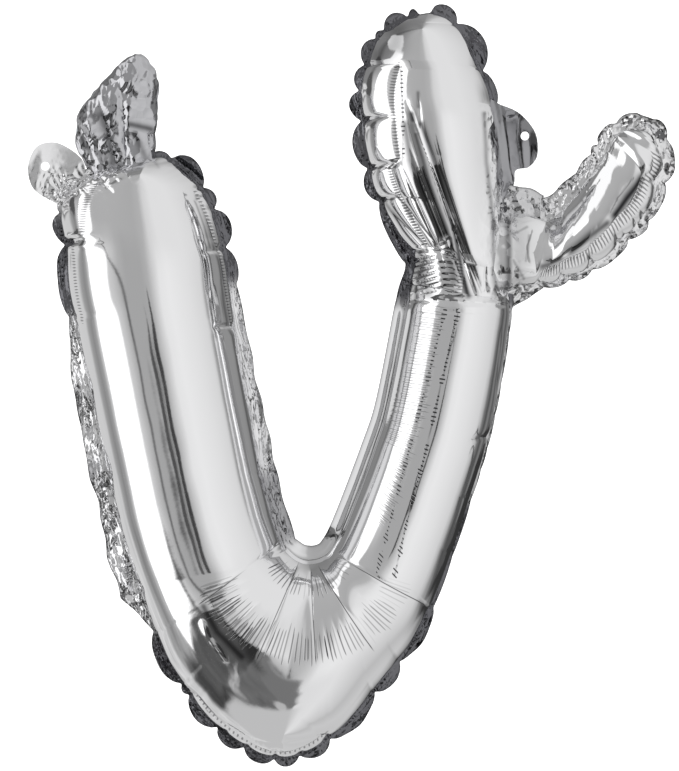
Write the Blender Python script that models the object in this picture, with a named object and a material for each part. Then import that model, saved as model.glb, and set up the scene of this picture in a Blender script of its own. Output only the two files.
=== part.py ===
"""Foil balloon in the shape of a script letter: a curved stroke with a round bend, a lobe
at its top and a short side branch. Two film halves are welded flat along one seam, and the
free margin outside the seam carries the filling neck and two punched hang tabs.

The frame: +X to the right and +Z up as the balloon is read, with the front film at -Y.
The seam lies in the plane y = 0. The origin is the point half-way between the holes
of the two hang tabs, where a line strung through them would hold the balloon."""

import math

import bmesh
import bpy
from mathutils import Vector

MM = 0.001

FILM = 1.0 * MM            # wall of each inflated half, standing in for film far thinner
MARGIN = 1.0 * MM          # the two films welded together
NECK_FILM = 0.8 * MM
VALVE_FILM = 0.5 * MM
GAP = 0.3 * MM             # clearance between touching pieces
LAP = 2.0 * MM             # how far the margin reaches in under the rim of each half
VALVE_INSET = 0.1 * MM     # how far the valve sleeve's edge lies inside the neck's
SEAM_HALF = MARGIN / 2 + GAP
END_MARGIN = 1.5 * MM      # free margin past the filling end of the stroke
HOLE_RADIUS = 2.0 * MM     # punched hole of a hang tab
REACH = 60.0 * MM          # deeper than the balloon, for cutters
BLOCK_SIDE = 600.0 * MM    # wider and taller than the balloon, for cutters
BLOCK_HEIGHT = -100.0 * MM

STEPS = 2                  # smooth sections between two rows of a table
AROUND = 20                # sides of an inflated section
NECK_AROUND = 14
LOBE_STEPS = 4             # points along one scallop of the margin

# Sections of the inflated stroke, from the filling end, round the bend, to the top lobe, in mm.
# Each row: seam on the outer side x, z; seam on the inner side x, z; half depth.
STROKE = (
    (-92, -10, -64, -4, 4),
    (-102, -19, -55, -5, 18),
    (-106, -27, -40, -19, 28),
    (-104, -44, -30, -46, 35),
    (-100, -80, -24, -82, 37),
    (-85, -152, -11, -152, 36),
    (-76, -190, -2, -185, 36),
    (-61, -230, 4, -193, 37),
    (-48, -254, 8, -195, 38),
    (-30, -274, 10, -195, 39),
    (-5, -288, 14, -194, 39),
    (20, -279, 18, -192, 38),
    (42, -256, 21, -190, 35),
    (66, -222, 27, -179, 28),
    (87, -166, 41, -142, 26),
    (98, -128, 48, -119, 25),
    (106, -80, 57, -71, 24),
    (105, -62, 60, -53, 25),
    (104, -43, 53, -38, 27),
    (103, -26, 45, -24, 28),
    (102, -6, 40, -9, 30),
    (100, 12, 37, 14, 30),
    (97, 24, 36, 28, 28),
    (92, 38, 39, 42, 25),
    (86, 51, 44, 53, 19),
    (78, 61, 54, 60, 11),
    (69, 65, 63, 64, 2),
)

# Sections of the inflated side branch, from inside the stroke to its tip, in the same columns.
# Here the outer side is the lower one.
BRANCH = (
    (91, -69, 86, -29, 17),
    (105, -68, 104, -28, 18),
    (117, -64, 117, -31, 16),
    (125, -62, 125, -33, 15),
    (134, -59, 134, -25, 16),
    (146, -54, 142, -15, 18),
    (160, -41, 149, -6, 18),
    (169, -32, 152, 0, 16),
    (175, -17, 156, 6, 14),
    (178, -6, 159, 9, 10),
    (175, 4, 163, 10, 7),
    (171, 9, 167, 11, 2),
)

# Sections of the puffed filling neck, from the stroke to its mouth, in the same columns.
# The lowest row starts inside the stroke's margin, which trims it.
NECK = (
    (-93, -12, -67, -6, 5),
    (-100, 6, -64, 9, 8),
    (-97, 19, -61, 26, 9),
    (-88, 30, -63, 38, 7),
    (-80, 40, -66, 43, 4),
    (-73, 45, -70, 45, 2),
)

# Free margin of the stroke, in runs along each side. Columns: first row and last row of the
# STROKE table; width at the first and at the last row in mm; pieces that the run is divided
# into; how far each piece bulges as a scallop in mm, or 0 for a straight edge.
STROKE_OUTER_MARGIN = (
    (0, 2, 2, 2, 2, 0),
    (2, 3, 2, 2, 1, 4),
    (3, 7, 6, 8.5, 7, 0),
    (7, 13, 2, 2, 10, 5.5),
    (13, 22, 1.5, 1.5, 12, 0),
    (22, 23, 1.5, 1.5, 1, 4),
    (23, 25, 1.5, 1.5, 1, 6),
    (25, 26, 1.5, 1.5, 1, 4),
)
STROKE_INNER_MARGIN = (
    (0, 3, 2, 2, 3, 6),
    (3, 7, 8, 6.5, 5, 0),
    (7, 13, 6.5, 6.5, 4, 0),
    (13, 17, 6.5, 3, 5, 0),
    (17, 19, 3, 2, 2, 0),
    (19, 26, 1.5, 1.5, 7, 5),
)
# Free margin of the branch, in runs over the BRANCH table.
BRANCH_OUTER_MARGIN = (
    (0, 3, 12, 7, 3, 0),
    (3, 11, 2, 2, 8, 5),
)
BRANCH_INNER_MARGIN = (
    (0, 3, 12, 11, 3, 0),
    (3, 5, 11, 12, 1, 0),
    (5, 8, 12, 8, 4, 0),
    (8, 11, 8, 4, 4, 0),
)

# Smooth outlines of the hang tabs, in mm. Both start inside the margin, which trims them.
LEFT_TAB = ((-96, -14), (-96, -6), (-102, 0), (-110, 3.5), (-118, 1), (-122, -8), (-120, -18),
            (-112, -24), (-100, -28))
RIGHT_TAB = ((94, 22), (102, 21), (111, 15.5), (118, 7), (119, -3), (115, -8.5), (109, -10),
             (108, -17), (101, -26), (94, -10))
LEFT_HOLE = (-114, -8)
RIGHT_HOLE = (113, 6)


def clear_scene():
    for thing in list(bpy.data.objects):
        bpy.data.objects.remove(thing, do_unlink=True)


def new_collection(name):
    made = bpy.data.collections.new(name)
    bpy.context.scene.collection.children.link(made)
    return made


def new_object(name, mesh, collection):
    made = bpy.data.objects.new(name, mesh)
    collection.objects.link(made)
    return made


def film_material(name, colour, roughness, metallic=1.0):
    material = bpy.data.materials.new(name)
    material.use_nodes = True
    shader = material.node_tree.nodes["Principled BSDF"]
    shader.inputs["Base Color"].default_value = (*colour, 1.0)
    shader.inputs["Roughness"].default_value = roughness
    shader.inputs["Metallic"].default_value = metallic
    return material


def smooth_rows(rows, steps):
    """Every row in turn with steps - 1 rows between it and the next, on one smooth curve."""
    made = []
    last = len(rows) - 1
    for index in range(last):
        before, start, end, after = (rows[min(max(index + k, 0), last)] for k in (-1, 0, 1, 2))
        for step in range(steps):
            t = step / steps
            made.append(tuple(
                0.5 * (2 * b + (c - a) * t + (2 * a - 5 * b + 4 * c - d) * t * t
                       + (3 * b - a - 3 * c + d) * t ** 3)
                for a, b, c, d in zip(before, start, end, after)))
    made.append(tuple(rows[last]))
    return made


def sections(rows, inset):
    """Smooth sections in metres as (outer seam, inner seam, half depth), each moved in by inset."""
    made = []
    for ox, oz, ix, iz, depth in smooth_rows(rows, STEPS):
        outer = Vector((ox, 0, oz)) * MM
        inner = Vector((ix, 0, iz)) * MM
        across = (inner - outer).normalized()
        made.append((outer + across * inset, inner - across * inset, depth * MM - inset))
    return made


def loft(name, rows, inset, around, collection):
    """An inflated tube through the sections. An inset one, for a hollow, stops short of both ends."""
    rings = sections(rows, inset)
    if inset:
        rings = [ring for ring in rings[1:-1] if ring[2] > inset]
    mesh = bmesh.new()
    loops = []
    for outer, inner, depth in rings:
        centre = (outer + inner) / 2
        half = (outer - inner) / 2
        loops.append([
            mesh.verts.new(centre + half * math.cos(angle) + Vector((0, -depth * math.sin(angle), 0)))
            for angle in (math.tau * (k + 0.5) / around for k in range(around))])
    for first, second in zip(loops, loops[1:]):
        for k in range(around):
            after = (k + 1) % around
            mesh.faces.new((first[k], first[after], second[after], second[k]))
    mesh.faces.new(loops[0])
    mesh.faces.new(loops[-1])
    bmesh.ops.recalc_face_normals(mesh, faces=mesh.faces)
    data = bpy.data.meshes.new(name)
    mesh.to_mesh(data)
    mesh.free()
    return new_object(name, data, collection)


def flat_piece(name, outlines, thickness, collection, smooth=False):
    """A flat sheet in the seam plane from closed outlines in metres. Inner outlines are holes."""
    curve = bpy.data.curves.new(name + "_outline", "CURVE")
    curve.dimensions = "2D"
    curve.fill_mode = "BOTH"
    curve.extrude = thickness / 2
    curve.resolution_u = 5
    for number, outline in enumerate(outlines):
        round_outline = smooth or number > 0
        spline = curve.splines.new("BEZIER" if round_outline else "POLY")
        spline.use_cyclic_u = True
        if round_outline:
            spline.bezier_points.add(len(outline) - 1)
            for point, (x, z) in zip(spline.bezier_points, outline):
                point.co = (x, z, 0)
                point.handle_left_type = "AUTO"
                point.handle_right_type = "AUTO"
        else:
            spline.points.add(len(outline) - 1)
            for point, (x, z) in zip(spline.points, outline):
                point.co = (x, z, 0, 1)
    guide = new_object(name + "_guide", curve, collection)
    guide.rotation_euler = (math.pi / 2, 0, 0)
    bpy.context.view_layer.update()
    graph = bpy.context.evaluated_depsgraph_get()
    data = bpy.data.meshes.new_from_object(guide.evaluated_get(graph))
    data.transform(guide.matrix_world)
    bpy.data.objects.remove(guide)
    mesh = bmesh.new()
    mesh.from_mesh(data)
    bmesh.ops.remove_doubles(mesh, verts=mesh.verts, dist=0.00001)
    bmesh.ops.recalc_face_normals(mesh, faces=mesh.faces)
    mesh.to_mesh(data)
    mesh.free()
    data.name = name
    return new_object(name, data, collection)


def seam_side(rows, side):
    """One side of the seam, smooth, as points in metres with the unit direction out of the film."""
    first = 0 if side == "outer" else 2
    line = [Vector((row[first], row[first + 1])) * MM for row in smooth_rows(rows, STEPS)]
    made = []
    for k, point in enumerate(line):
        along = (line[min(k + 1, len(line) - 1)] - line[max(k - 1, 0)]).normalized()
        out = Vector((along.y, -along.x)) if side == "inner" else Vector((-along.y, along.x))
        other = rows[min(k // STEPS, len(rows) - 1)]
        centre = Vector((other[0] + other[2], other[1] + other[3])) * MM / 2
        made.append((point, out if out.dot(point - centre) > 0 else -out))
    return made


def along_side(side, position):
    """The point and the outward direction at a fractional row of one side of the seam."""
    place = position * STEPS
    k = min(int(place), len(side) - 2)
    t = place - k
    point = side[k][0].lerp(side[k + 1][0], t)
    out = side[k][1].lerp(side[k + 1][1], t).normalized()
    return point, out


def free_edge(rows, side_name, runs, grow):
    """The free edge of the margin along one side, with its scallops, as 2D points in metres."""
    side = seam_side(rows, side_name)
    edge = []
    for first, last, width, last_width, pieces, bulge in runs:
        count = pieces * LOBE_STEPS if bulge else pieces
        for step in range(count):
            t = step / count
            point, out = along_side(side, first + (last - first) * t)
            bump = bulge * abs(math.sin(math.pi * t * pieces))
            edge.append(point + out * ((width + (last_width - width) * t + bump) * MM + grow))
    return edge


def margin_outline(rows, outer_runs, inner_runs, grow=0.0):
    outer = free_edge(rows, "outer", outer_runs, grow)
    inner = free_edge(rows, "inner", inner_runs, grow)
    start = Vector((rows[0][0] - rows[1][0] + rows[0][2] - rows[1][2],
                    rows[0][1] - rows[1][1] + rows[0][3] - rows[1][3])).normalized()
    ends = [point + start * (END_MARGIN + grow) for point in (inner[0], outer[0])]
    return [tuple(point) for point in ends + outer + inner[::-1]]


def seam_outline(rows, inset, dropped=0):
    """The seam moved in by inset, as 2D points in metres, less the sections dropped at each end."""
    rings = sections(rows, inset)
    rings = rings[dropped:len(rings) - dropped]
    return ([(outer.x, outer.z) for outer, _, _ in rings]
            + [(inner.x, inner.z) for _, inner, _ in rings[::-1]])


def round_hole(centre):
    angles = [math.tau * k / 4 for k in range(4)]
    return [(centre[0] * MM + HOLE_RADIUS * math.cos(angle), centre[1] * MM + HOLE_RADIUS * math.sin(angle))
            for angle in angles]


def block(name, low, high, collection):
    """A block from y = low to y = high that is wider and taller than the balloon."""
    mesh = bmesh.new()
    bmesh.ops.create_cube(mesh, size=1.0)
    bmesh.ops.scale(mesh, vec=(BLOCK_SIDE, high - low, BLOCK_SIDE), verts=mesh.verts)
    bmesh.ops.translate(mesh, vec=(0, (high + low) / 2, 0), verts=mesh.verts)
    data = bpy.data.meshes.new(name)
    mesh.to_mesh(data)
    mesh.free()
    made = new_object(name, data, collection)
    made.location.z = BLOCK_HEIGHT
    return made


def film_side(name, side, offset, collection):
    """A block that holds everything on one side of the seam plane, from the offset outwards."""
    low, high = (offset, REACH) if side > 0 else (-REACH, -offset)
    return block(name, low, high, collection)


def boolean(target, tool, operation):
    modifier = target.modifiers.new(operation.lower() + "_" + tool.name, "BOOLEAN")
    modifier.operation = operation
    modifier.solver = "EXACT"
    modifier.object = tool


def finish(piece, material, smooth=True):
    piece.data.materials.append(material)
    if smooth:
        piece.data.shade_smooth()
        piece.data.set_sharp_from_angle(angle=math.radians(40))


def main():
    clear_scene()
    parts = new_collection("foil_balloon")
    cutters = new_collection("cutters")
    silver = film_material("silver_metallised_film", (0.80, 0.80, 0.81), 0.12)
    welded = film_material("welded_film_margin", (0.62, 0.62, 0.63), 0.25)
    clear = film_material("clear_valve_film", (0.85, 0.87, 0.88), 0.30, 0.0)

    branch_solid = loft("branch_solid", BRANCH, 0.0, AROUND, cutters)
    stroke_hollow = loft("stroke_hollow", STROKE, FILM, AROUND, cutters)
    branch_hollow = loft("branch_hollow", BRANCH, FILM, AROUND, cutters)
    for name, side in (("front_film", -1), ("back_film", 1)):
        half = film_side(name + "_side", side, SEAM_HALF, cutters)
        film = loft(name, STROKE, 0.0, AROUND, parts)
        boolean(film, branch_solid, "UNION")
        boolean(film, stroke_hollow, "DIFFERENCE")
        boolean(film, branch_hollow, "DIFFERENCE")
        boolean(film, half, "INTERSECT")
        finish(film, silver)

    margin = flat_piece(
        "seam_margin", [margin_outline(STROKE, STROKE_OUTER_MARGIN, STROKE_INNER_MARGIN)],
        10 * MARGIN, parts)
    branch_margin = flat_piece(
        "branch_margin", [margin_outline(BRANCH, BRANCH_OUTER_MARGIN, BRANCH_INNER_MARGIN)],
        12 * MARGIN, cutters)
    boolean(margin, branch_margin, "UNION")
    for name, rows in (("stroke_opening", STROKE), ("branch_opening", BRANCH)):
        boolean(margin, flat_piece(name, [seam_outline(rows, LAP, 1)], REACH, cutters), "DIFFERENCE")
    boolean(margin, block("margin_slab", -MARGIN / 2, MARGIN / 2, cutters), "INTERSECT")
    finish(margin, welded, smooth=False)

    stroke_trim = flat_piece(
        "stroke_trim", [margin_outline(STROKE, STROKE_OUTER_MARGIN, STROKE_INNER_MARGIN, GAP)],
        REACH, cutters)
    branch_trim = flat_piece(
        "branch_trim", [margin_outline(BRANCH, BRANCH_OUTER_MARGIN, BRANCH_INNER_MARGIN, GAP)],
        REACH, cutters)

    neck_hollow = loft("neck_hollow", NECK, NECK_FILM, NECK_AROUND, cutters)
    for name, side in (("neck_front_film", -1), ("neck_back_film", 1)):
        half = film_side(name + "_side", side, VALVE_FILM / 2 + GAP, cutters)
        film = loft(name, NECK, 0.0, NECK_AROUND, parts)
        boolean(film, neck_hollow, "DIFFERENCE")
        boolean(film, half, "INTERSECT")
        boolean(film, stroke_trim, "DIFFERENCE")
        finish(film, silver)

    valve = flat_piece("valve_sleeve", [seam_outline(NECK, VALVE_INSET)], VALVE_FILM, parts)
    boolean(valve, stroke_trim, "DIFFERENCE")
    finish(valve, clear, smooth=False)

    for name, outline, hole, trims in (
            ("hang_tab_left", LEFT_TAB, LEFT_HOLE, (stroke_trim,)),
            ("hang_tab_right", RIGHT_TAB, RIGHT_HOLE, (stroke_trim, branch_trim))):
        edge = [(x * MM, z * MM) for x, z in outline]
        tab = flat_piece(name, [edge, round_hole(hole)], MARGIN, parts, smooth=True)
        for trim in trims:
            boolean(tab, trim, "DIFFERENCE")
        finish(tab, welded, smooth=False)

    for cutter in cutters.objects:
        cutter.hide_render = True
        cutter.display_type = "WIRE"


main()
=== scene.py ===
from functools import partial
import math
import bpy
import numpy as np
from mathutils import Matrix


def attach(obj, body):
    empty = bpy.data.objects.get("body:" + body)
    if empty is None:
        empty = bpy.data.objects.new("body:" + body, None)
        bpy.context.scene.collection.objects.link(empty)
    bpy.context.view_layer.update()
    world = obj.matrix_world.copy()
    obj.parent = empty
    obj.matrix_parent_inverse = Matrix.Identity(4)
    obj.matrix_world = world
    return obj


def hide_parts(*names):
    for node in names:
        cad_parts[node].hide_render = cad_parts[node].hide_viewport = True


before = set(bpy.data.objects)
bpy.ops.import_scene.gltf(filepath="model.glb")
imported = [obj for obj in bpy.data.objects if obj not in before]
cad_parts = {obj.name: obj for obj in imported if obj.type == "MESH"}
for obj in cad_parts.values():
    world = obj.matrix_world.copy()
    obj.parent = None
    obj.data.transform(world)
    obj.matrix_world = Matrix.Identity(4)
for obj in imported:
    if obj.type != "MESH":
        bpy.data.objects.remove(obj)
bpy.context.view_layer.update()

mm = 0.001
tau = math.tau

# A foil balloon is two cut sheets welded along one seam. Everything below is drawn on that seam:
# rows of the tables are sections of the inflated film, in mm, from the filling end onwards.
# Columns: seam on the outer side x, z; seam on the inner side x, z; half depth.
strokeRows = (
    (-92, -10, -64, -4, 4), (-102, -19, -55, -5, 18), (-106, -27, -40, -19, 28), (-104, -44, -30, -46, 35),
    (-100, -80, -24, -82, 37), (-85, -152, -11, -152, 36), (-76, -190, -2, -185, 36),
    (-61, -230, 1, -189.5, 37), (-48, -254, 4.8, -193, 38), (-31, -274, 9, -194.8, 39),
    (-5, -288, 13.3, -194.8, 39), (20, -279, 17.6, -193.3, 38), (42, -256, 21.4, -190, 35),
    (66, -222, 27.5, -178, 28), (87, -166, 41, -142, 26), (98, -128, 48, -119, 25), (106, -80, 57, -71, 24),
    (105, -62, 60, -53, 25), (104, -43, 53, -38, 27), (103, -26, 45, -24, 28), (102, -6, 40, -9, 30),
    (100, 12, 37, 14, 30), (97, 24, 36, 28, 28), (92, 38, 39, 42, 25), (86, 51, 44, 53, 19),
    (78, 61, 54, 60, 11), (69, 65, 63, 64, 2),
)
branchRows = (
    (91, -69, 86, -29, 17), (103, -67.5, 104, -29, 15), (112, -65.5, 117, -31.5, 12.5),
    (118, -64, 125, -33, 12.5), (129, -61, 134, -25, 16.5), (144.5, -54.5, 142, -15, 18.5),
    (160, -41, 149, -6, 18), (169, -32, 152, 0, 16), (175, -17, 156, 6, 14), (178, -6, 159, 9, 10),
    (175, 4, 163, 10, 7), (171, 9, 167, 11, 2),
)
neckRows = (
    (-93, -12, -64, -6, 5), (-100.5, 7.5, -61.5, 9, 8), (-94.5, 23.5, -61, 25, 9),
    (-86, 32.5, -62, 35.5, 7), (-78.5, 40.5, -65.5, 41.5, 4), (-72, 45, -69, 45, 2),
)

photo = {"mmPerPixel": 0.475, "originU": 286, "originV": 150}   # scale of the photograph


def onFilm(u, v):   # a place in the photograph as x, z in mm
    return (u - photo["originU"]) * photo["mmPerPixel"], (photo["originV"] - v) * photo["mmPerPixel"]


# Smooth curves and noise

def smoothTable(rows, places, closed=False):   # rows at fractional places, on a curve through all of them
    table = np.array(rows, float)
    last = len(table) - 1
    k = places.astype(int) if closed else np.clip(places.astype(int), 0, last - 1)
    t = (places - k)[:, None]
    around = [k + shift for shift in (-1, 0, 1, 2)]
    a, b, c, d = (table[near % len(table) if closed else np.clip(near, 0, last)] for near in around)
    bend = 2 * a - 5 * b + 4 * c - d
    return 0.5 * (2 * b + (c - a) * t + bend * t ** 2 + (3 * b - a - 3 * c + d) * t ** 3)


def rowNear(rows, side, u, v):   # the row whose seam is nearest to a pixel of the photograph
    fine = np.linspace(0, len(rows) - 1, 40 * len(rows))
    line = smoothTable(rows, fine)[:, 2 * side:2 * side + 2]
    x, z = onFilm(u, v)
    return float(fine[np.argmin(np.hypot(line[:, 0] - x, line[:, 1] - z))])


def evenPlaces(rows, count, settings):   # fractional rows, evenly far apart on the film
    fine = np.linspace(settings["first"], settings["last"], 3000)
    table = smoothTable(rows, fine)
    outer, inner = (np.hypot(*np.diff(table[:, k:k + 2], axis=0).T) for k in (0, 2))
    length = 0.6 * np.maximum(outer, inner) + 0.2 * (outer + inner)
    run = np.concatenate(([0], np.cumsum(length)))
    return np.interp(np.linspace(0, run[-1], count + 1), run, fine)


def runAlong(line):   # length from the start of a line to each of its points
    return np.concatenate(([0], np.cumsum(np.hypot(*np.diff(line, axis=0).T))))


def smoothLine(line, reach, run, step=0.25):   # averaged over a length in mm
    even = np.arange(0, run[-1], step)
    count = int(reach / step) | 1
    kernel = np.hanning(count + 2)[1:-1]
    kernel /= kernel.sum()
    made = []
    for values in line.T:
        level = np.pad(np.interp(even, run, values), count // 2, mode="reflect", reflect_type="odd")
        made.append(np.interp(run, even, np.convolve(level, kernel, "valid")))
    return np.stack(made, 1)


def softNoise(x, z, size, seed, waves=7):
    chance = np.random.default_rng(seed)
    total = np.zeros_like(x)
    for _ in range(waves):
        angle = chance.uniform(0, tau)
        length = size * chance.uniform(0.7, 1.5)
        total += np.sin((x * math.cos(angle) + z * math.sin(angle)) * tau / length + chance.uniform(0, tau))
    return total / math.sqrt(waves / 2)


def crumple(x, z, size, seed, folds=8, grain=0.0, stretch=1.0):
    # Flat facets between sharp folds, as in creased foil; the folds can be stretched along a grain
    chance = np.random.default_rng(seed)
    total = np.zeros_like(x)
    turn = math.radians(grain)
    x, z = (x * math.cos(turn) + z * math.sin(turn)) / stretch, z * math.cos(turn) - x * math.sin(turn)
    for number in range(folds):
        angle = chance.uniform(0, tau)
        length = size * chance.uniform(0.6, 1.7)
        bent = 0.4 * softNoise(x, z, size * 3, seed + 20 + number)
        place = (x * math.cos(angle) + z * math.sin(angle)) / length + chance.uniform(0, 1) + bent
        fold = np.abs((place % 1.0) - 0.5) * 4 - 1
        strength = np.clip(0.45 + 0.7 * softNoise(x, z, size * 2.5, seed + 50 + number), 0, 1)
        total += fold * strength * length / size
    return total / folds


def layered(shape, x, z, layers, seed):   # layers: size mm and share of the height of each
    return sum(share * shape(x, z, size, seed + number) for number, (size, share) in enumerate(layers))


# The sheet that every film piece starts from

weldReach = 0.01 * mm   # points of a mesh nearer than this become one
smoothAngle = math.radians(50)   # sharper folds than this stay sharp to the eye


def selectOnly(pieces):
    bpy.ops.object.select_all(action="DESELECT")
    for piece in pieces:
        piece.select_set(True)
    bpy.context.view_layer.objects.active = pieces[0]


def foilSheet(name, points):   # points[across][along] in mm
    bpy.ops.object.select_all(action="DESELECT")
    across, along = points.shape[:2]
    bpy.ops.mesh.primitive_grid_add(x_subdivisions=along - 1, y_subdivisions=across - 1, size=1)
    sheet = bpy.context.object
    sheet.name = name
    sheet.data.name = name
    sheet.data.vertices.foreach_set("co", (points * mm).ravel())
    sheet.data.update()
    return sheet


def thinSheet(name, x, lift, z, thickness, rim=1):   # two faces, joined at their rims; a disc has no rim
    front = np.stack([x, lift - thickness / 2, z], 2)
    back = np.stack([x, lift + thickness / 2, z], 2)
    return foilSheet(name, np.concatenate([front, back[::-1], front[:rim]]))


def setNumbers(sheet, name, values):   # one number at each point, for the material
    layer = sheet.data.attributes.new(name, "FLOAT", "POINT")
    layer.data.foreach_set("value", values.astype(np.float32).ravel())


def closeSheet(sheet):
    selectOnly([sheet])
    bpy.ops.object.mode_set(mode="EDIT")
    bpy.ops.mesh.select_all(action="SELECT")
    bpy.ops.mesh.remove_doubles(threshold=weldReach)
    bpy.ops.mesh.select_all(action="SELECT")
    bpy.ops.mesh.fill_holes(sides=0)
    bpy.ops.mesh.select_all(action="SELECT")
    bpy.ops.mesh.normals_make_consistent(inside=False)
    bpy.ops.object.mode_set(mode="OBJECT")
    bpy.ops.object.shade_smooth_by_angle(angle=smoothAngle)


def joinPieces(pieces, name):
    selectOnly(pieces)
    bpy.ops.object.join()
    joined = bpy.context.object
    joined.name = name
    joined.data.name = name
    return joined


def report(stage, *pieces):
    print(stage + ":", sum(len(piece.data.polygons) for piece in pieces), "faces")


# Creases drawn into the film. A crease is its start and end in pixels of the photograph (u, v, u, v), its
# depth and its width in mm, and the word end where it is deepest at its start and runs out at its end.

def fromLine(x, z, u, v, endU, endV):   # share of the way along a line of pixels, and mm away from it
    ax, az = onFilm(u, v)
    bx, bz = onFilm(endU, endV)
    dx, dz = bx - ax, bz - az
    share = np.clip(((x - ax) * dx + (z - az) * dz) / (dx ** 2 + dz ** 2), 0, 1)
    return share, np.hypot(x - ax - share * dx, z - az - share * dz)


def creaseDepth(x, z, creases):   # how far the creases draw the film in, in mm
    total = np.zeros_like(x)
    for *line, depth, width, end in (crease if len(crease) == 7 else crease + ("",) for crease in creases):
        ax, az = onFilm(*line[:2])
        bx, bz = onFilm(*line[2:])
        reach = 5 * width   # beyond this the crease is too shallow to count
        near = ((x > min(ax, bx) - reach) & (x < max(ax, bx) + reach)
                & (z > min(az, bz) - reach) & (z < max(az, bz) + reach))
        share, away = fromLine(x[near], z[near], *line)
        fade = (1 - share) ** 0.9 if end else np.sin(math.pi * np.clip(share, 0.02, 0.98)) ** 0.6
        wide = width * (0.55 + 0.45 * fade)   # it narrows towards its ends
        total[near] += depth * fade * np.exp(-away / wide)
    return total


def strongest(x, z, routes):   # routes: pixels on the way, width in mm over which it fades, strength
    mask = np.zeros_like(x)
    for route, width, strength in routes:
        for start, end in zip(route, route[1:]):
            _, away = fromLine(x, z, *start, *end)
            mask = np.maximum(mask, strength * np.exp(-(away / width) ** 2))
    return mask


def ridgeArc(x, z, ridge):   # a fold that stands proud along part of a circle
    cx, cz = onFilm(*ridge["centre"])
    radius = ridge["radius"] * photo["mmPerPixel"]
    away = np.hypot(x - cx, z - cz)
    angle = np.degrees(np.arctan2(cz - z, x - cx))
    low, high = ridge["degrees"]
    share = np.clip((angle - low) / ridge["soft"], 0, 1) * np.clip((high - angle) / ridge["soft"], 0, 1)
    return ridge["height"] * share * np.exp(-np.abs(away - radius) / ridge["width"])


def facetRelief(x, z, facets):   # patches that face another way: pixel, radius mm, slope right and up
    total = np.zeros_like(x)
    for u, v, radius, slopeX, slopeZ in facets:
        cx, cz = onFilm(u, v)
        window = np.exp(-(((x - cx) ** 2 + (z - cz) ** 2) / radius ** 2) ** 2)
        total += window * (slopeX * (x - cx) + slopeZ * (z - cz))
    return total


def fan(centre, radii, degrees, count, depth, width, seed, spread=0.3):   # creases on spokes
    chance = np.random.default_rng(seed)
    made = []
    for number in range(count):
        share = (number + chance.uniform(0.1, 0.9)) / count
        angle = math.radians(degrees[0] + (degrees[1] - degrees[0]) * share)
        spoke = (math.cos(angle), math.sin(angle))
        near = radii[0] + (radii[1] - radii[0]) * chance.uniform(0, spread)
        far = radii[1] - (radii[1] - radii[0]) * chance.uniform(0, spread)
        ends = [place + far * way for far in (near, far) for place, way in zip(centre, spoke)]
        made.append((*ends, depth * chance.uniform(0.35, 1.1), width * chance.uniform(0.8, 1.2)))
    return made


def scatter(corner, size, degrees, lengths, count, depth, width, seed):   # loose creases over a patch
    chance = np.random.default_rng(seed)
    made = []
    for _ in range(count):
        u, v = (corner[k] + size[k] * chance.uniform(0, 1) for k in (0, 1))
        angle = math.radians(chance.uniform(*degrees))
        length = chance.uniform(*lengths)
        made.append((u, v, u + length * math.cos(angle), v + length * math.sin(angle),
                     depth * chance.uniform(-0.7, 1.2), width * chance.uniform(0.7, 1.3)))
    return made


# Beads: the film bulges between the places where the seam has gathered

# loose and reach are shares of a bead's length. In mm: highest, leastReach, half the width of a shallow
# crease and how much wider a deep one is
bead = {
    "loose": 0.22, "round": 0.8, "sunk": 0.4, "highest": 2.4, "reach": 0.7, "leastReach": 2, "fade": 1.3,
    "crease": 1.1, "deeperCrease": 0.9, "chance": (0.6, 1.3),
}


def pinchPlaces(runs, seed):   # row, crease length mm, crease depth mm and puff of each pinch of the seam
    chance = np.random.default_rng(seed)
    made = []
    for first, last, beads, length, depth, puff, *_ in runs:
        for number in range(beads):
            loose = 0.0 if number == 0 else chance.uniform(-bead["loose"], bead["loose"])
            place = first + (last - first) * (number + loose) / beads
            long, deep = (size * chance.uniform(*bead["chance"]) for size in (length, depth))
            made.append((place, long, deep, puff))
    return made + [(last, length, depth, puff)]


def acrossSpot(places, alongRun, spot):   # mm along the film from the section at one place
    crossing = np.array([np.interp(spot, places, line) for line in alongRun])
    return np.abs(alongRun - crossing[:, None])


def beadRelief(places, fromSeam, alongRun, pinches):
    # places: row of each section; fromSeam and alongRun: mm on the film [across][along]
    total = np.zeros_like(fromSeam)
    pinches = [pinch for pinch in pinches if places[0] - 0.02 < pinch[0] < places[-1] + 0.02]
    seamRun = alongRun[0]
    for (spot, _, _, puff), (nextSpot, *_) in zip(pinches, pinches[1:]):
        start, end = np.interp((spot, nextSpot), places, seamRun)
        length = end - start
        within = (places >= spot) & (places < nextSpot)
        u = (seamRun[within] - start) / max(length, 0.01)
        bulge = np.sin(math.pi * np.clip(u, 0, 1)) ** bead["round"] - bead["sunk"]
        height = min(puff * length, bead["highest"])
        reach = bead["reach"] * length + bead["leastReach"]
        total[:, within] += height * bulge * np.exp(-(fromSeam[:, within] / reach) ** 2)
    for spot, length, depth, _ in pinches:
        fade = np.clip(1 - fromSeam / length, 0, 1) ** bead["fade"]
        half = bead["crease"] + bead["deeperCrease"] * fade
        total -= depth * fade * np.exp(-acrossSpot(places, alongRun, spot) / half)
    return total


barrels = {   # reaches and soft edges in mm; gathersAt, ringTo and ringSoft are shares of a band's width
    "valley": 1.7, "valleyReach": 11.0, "swell": 0.4, "least": 0.2, "skew": 0.8, "round": 0.9,
    "shallower": 0.3, "shallowSoft": 1.2, "gathersAt": 0.96, "plainReach": 1.8, "ringTo": 0.9,
    "ringSoft": 0.07, "ringHalf": 1.2, "smooth": 9,
}


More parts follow.
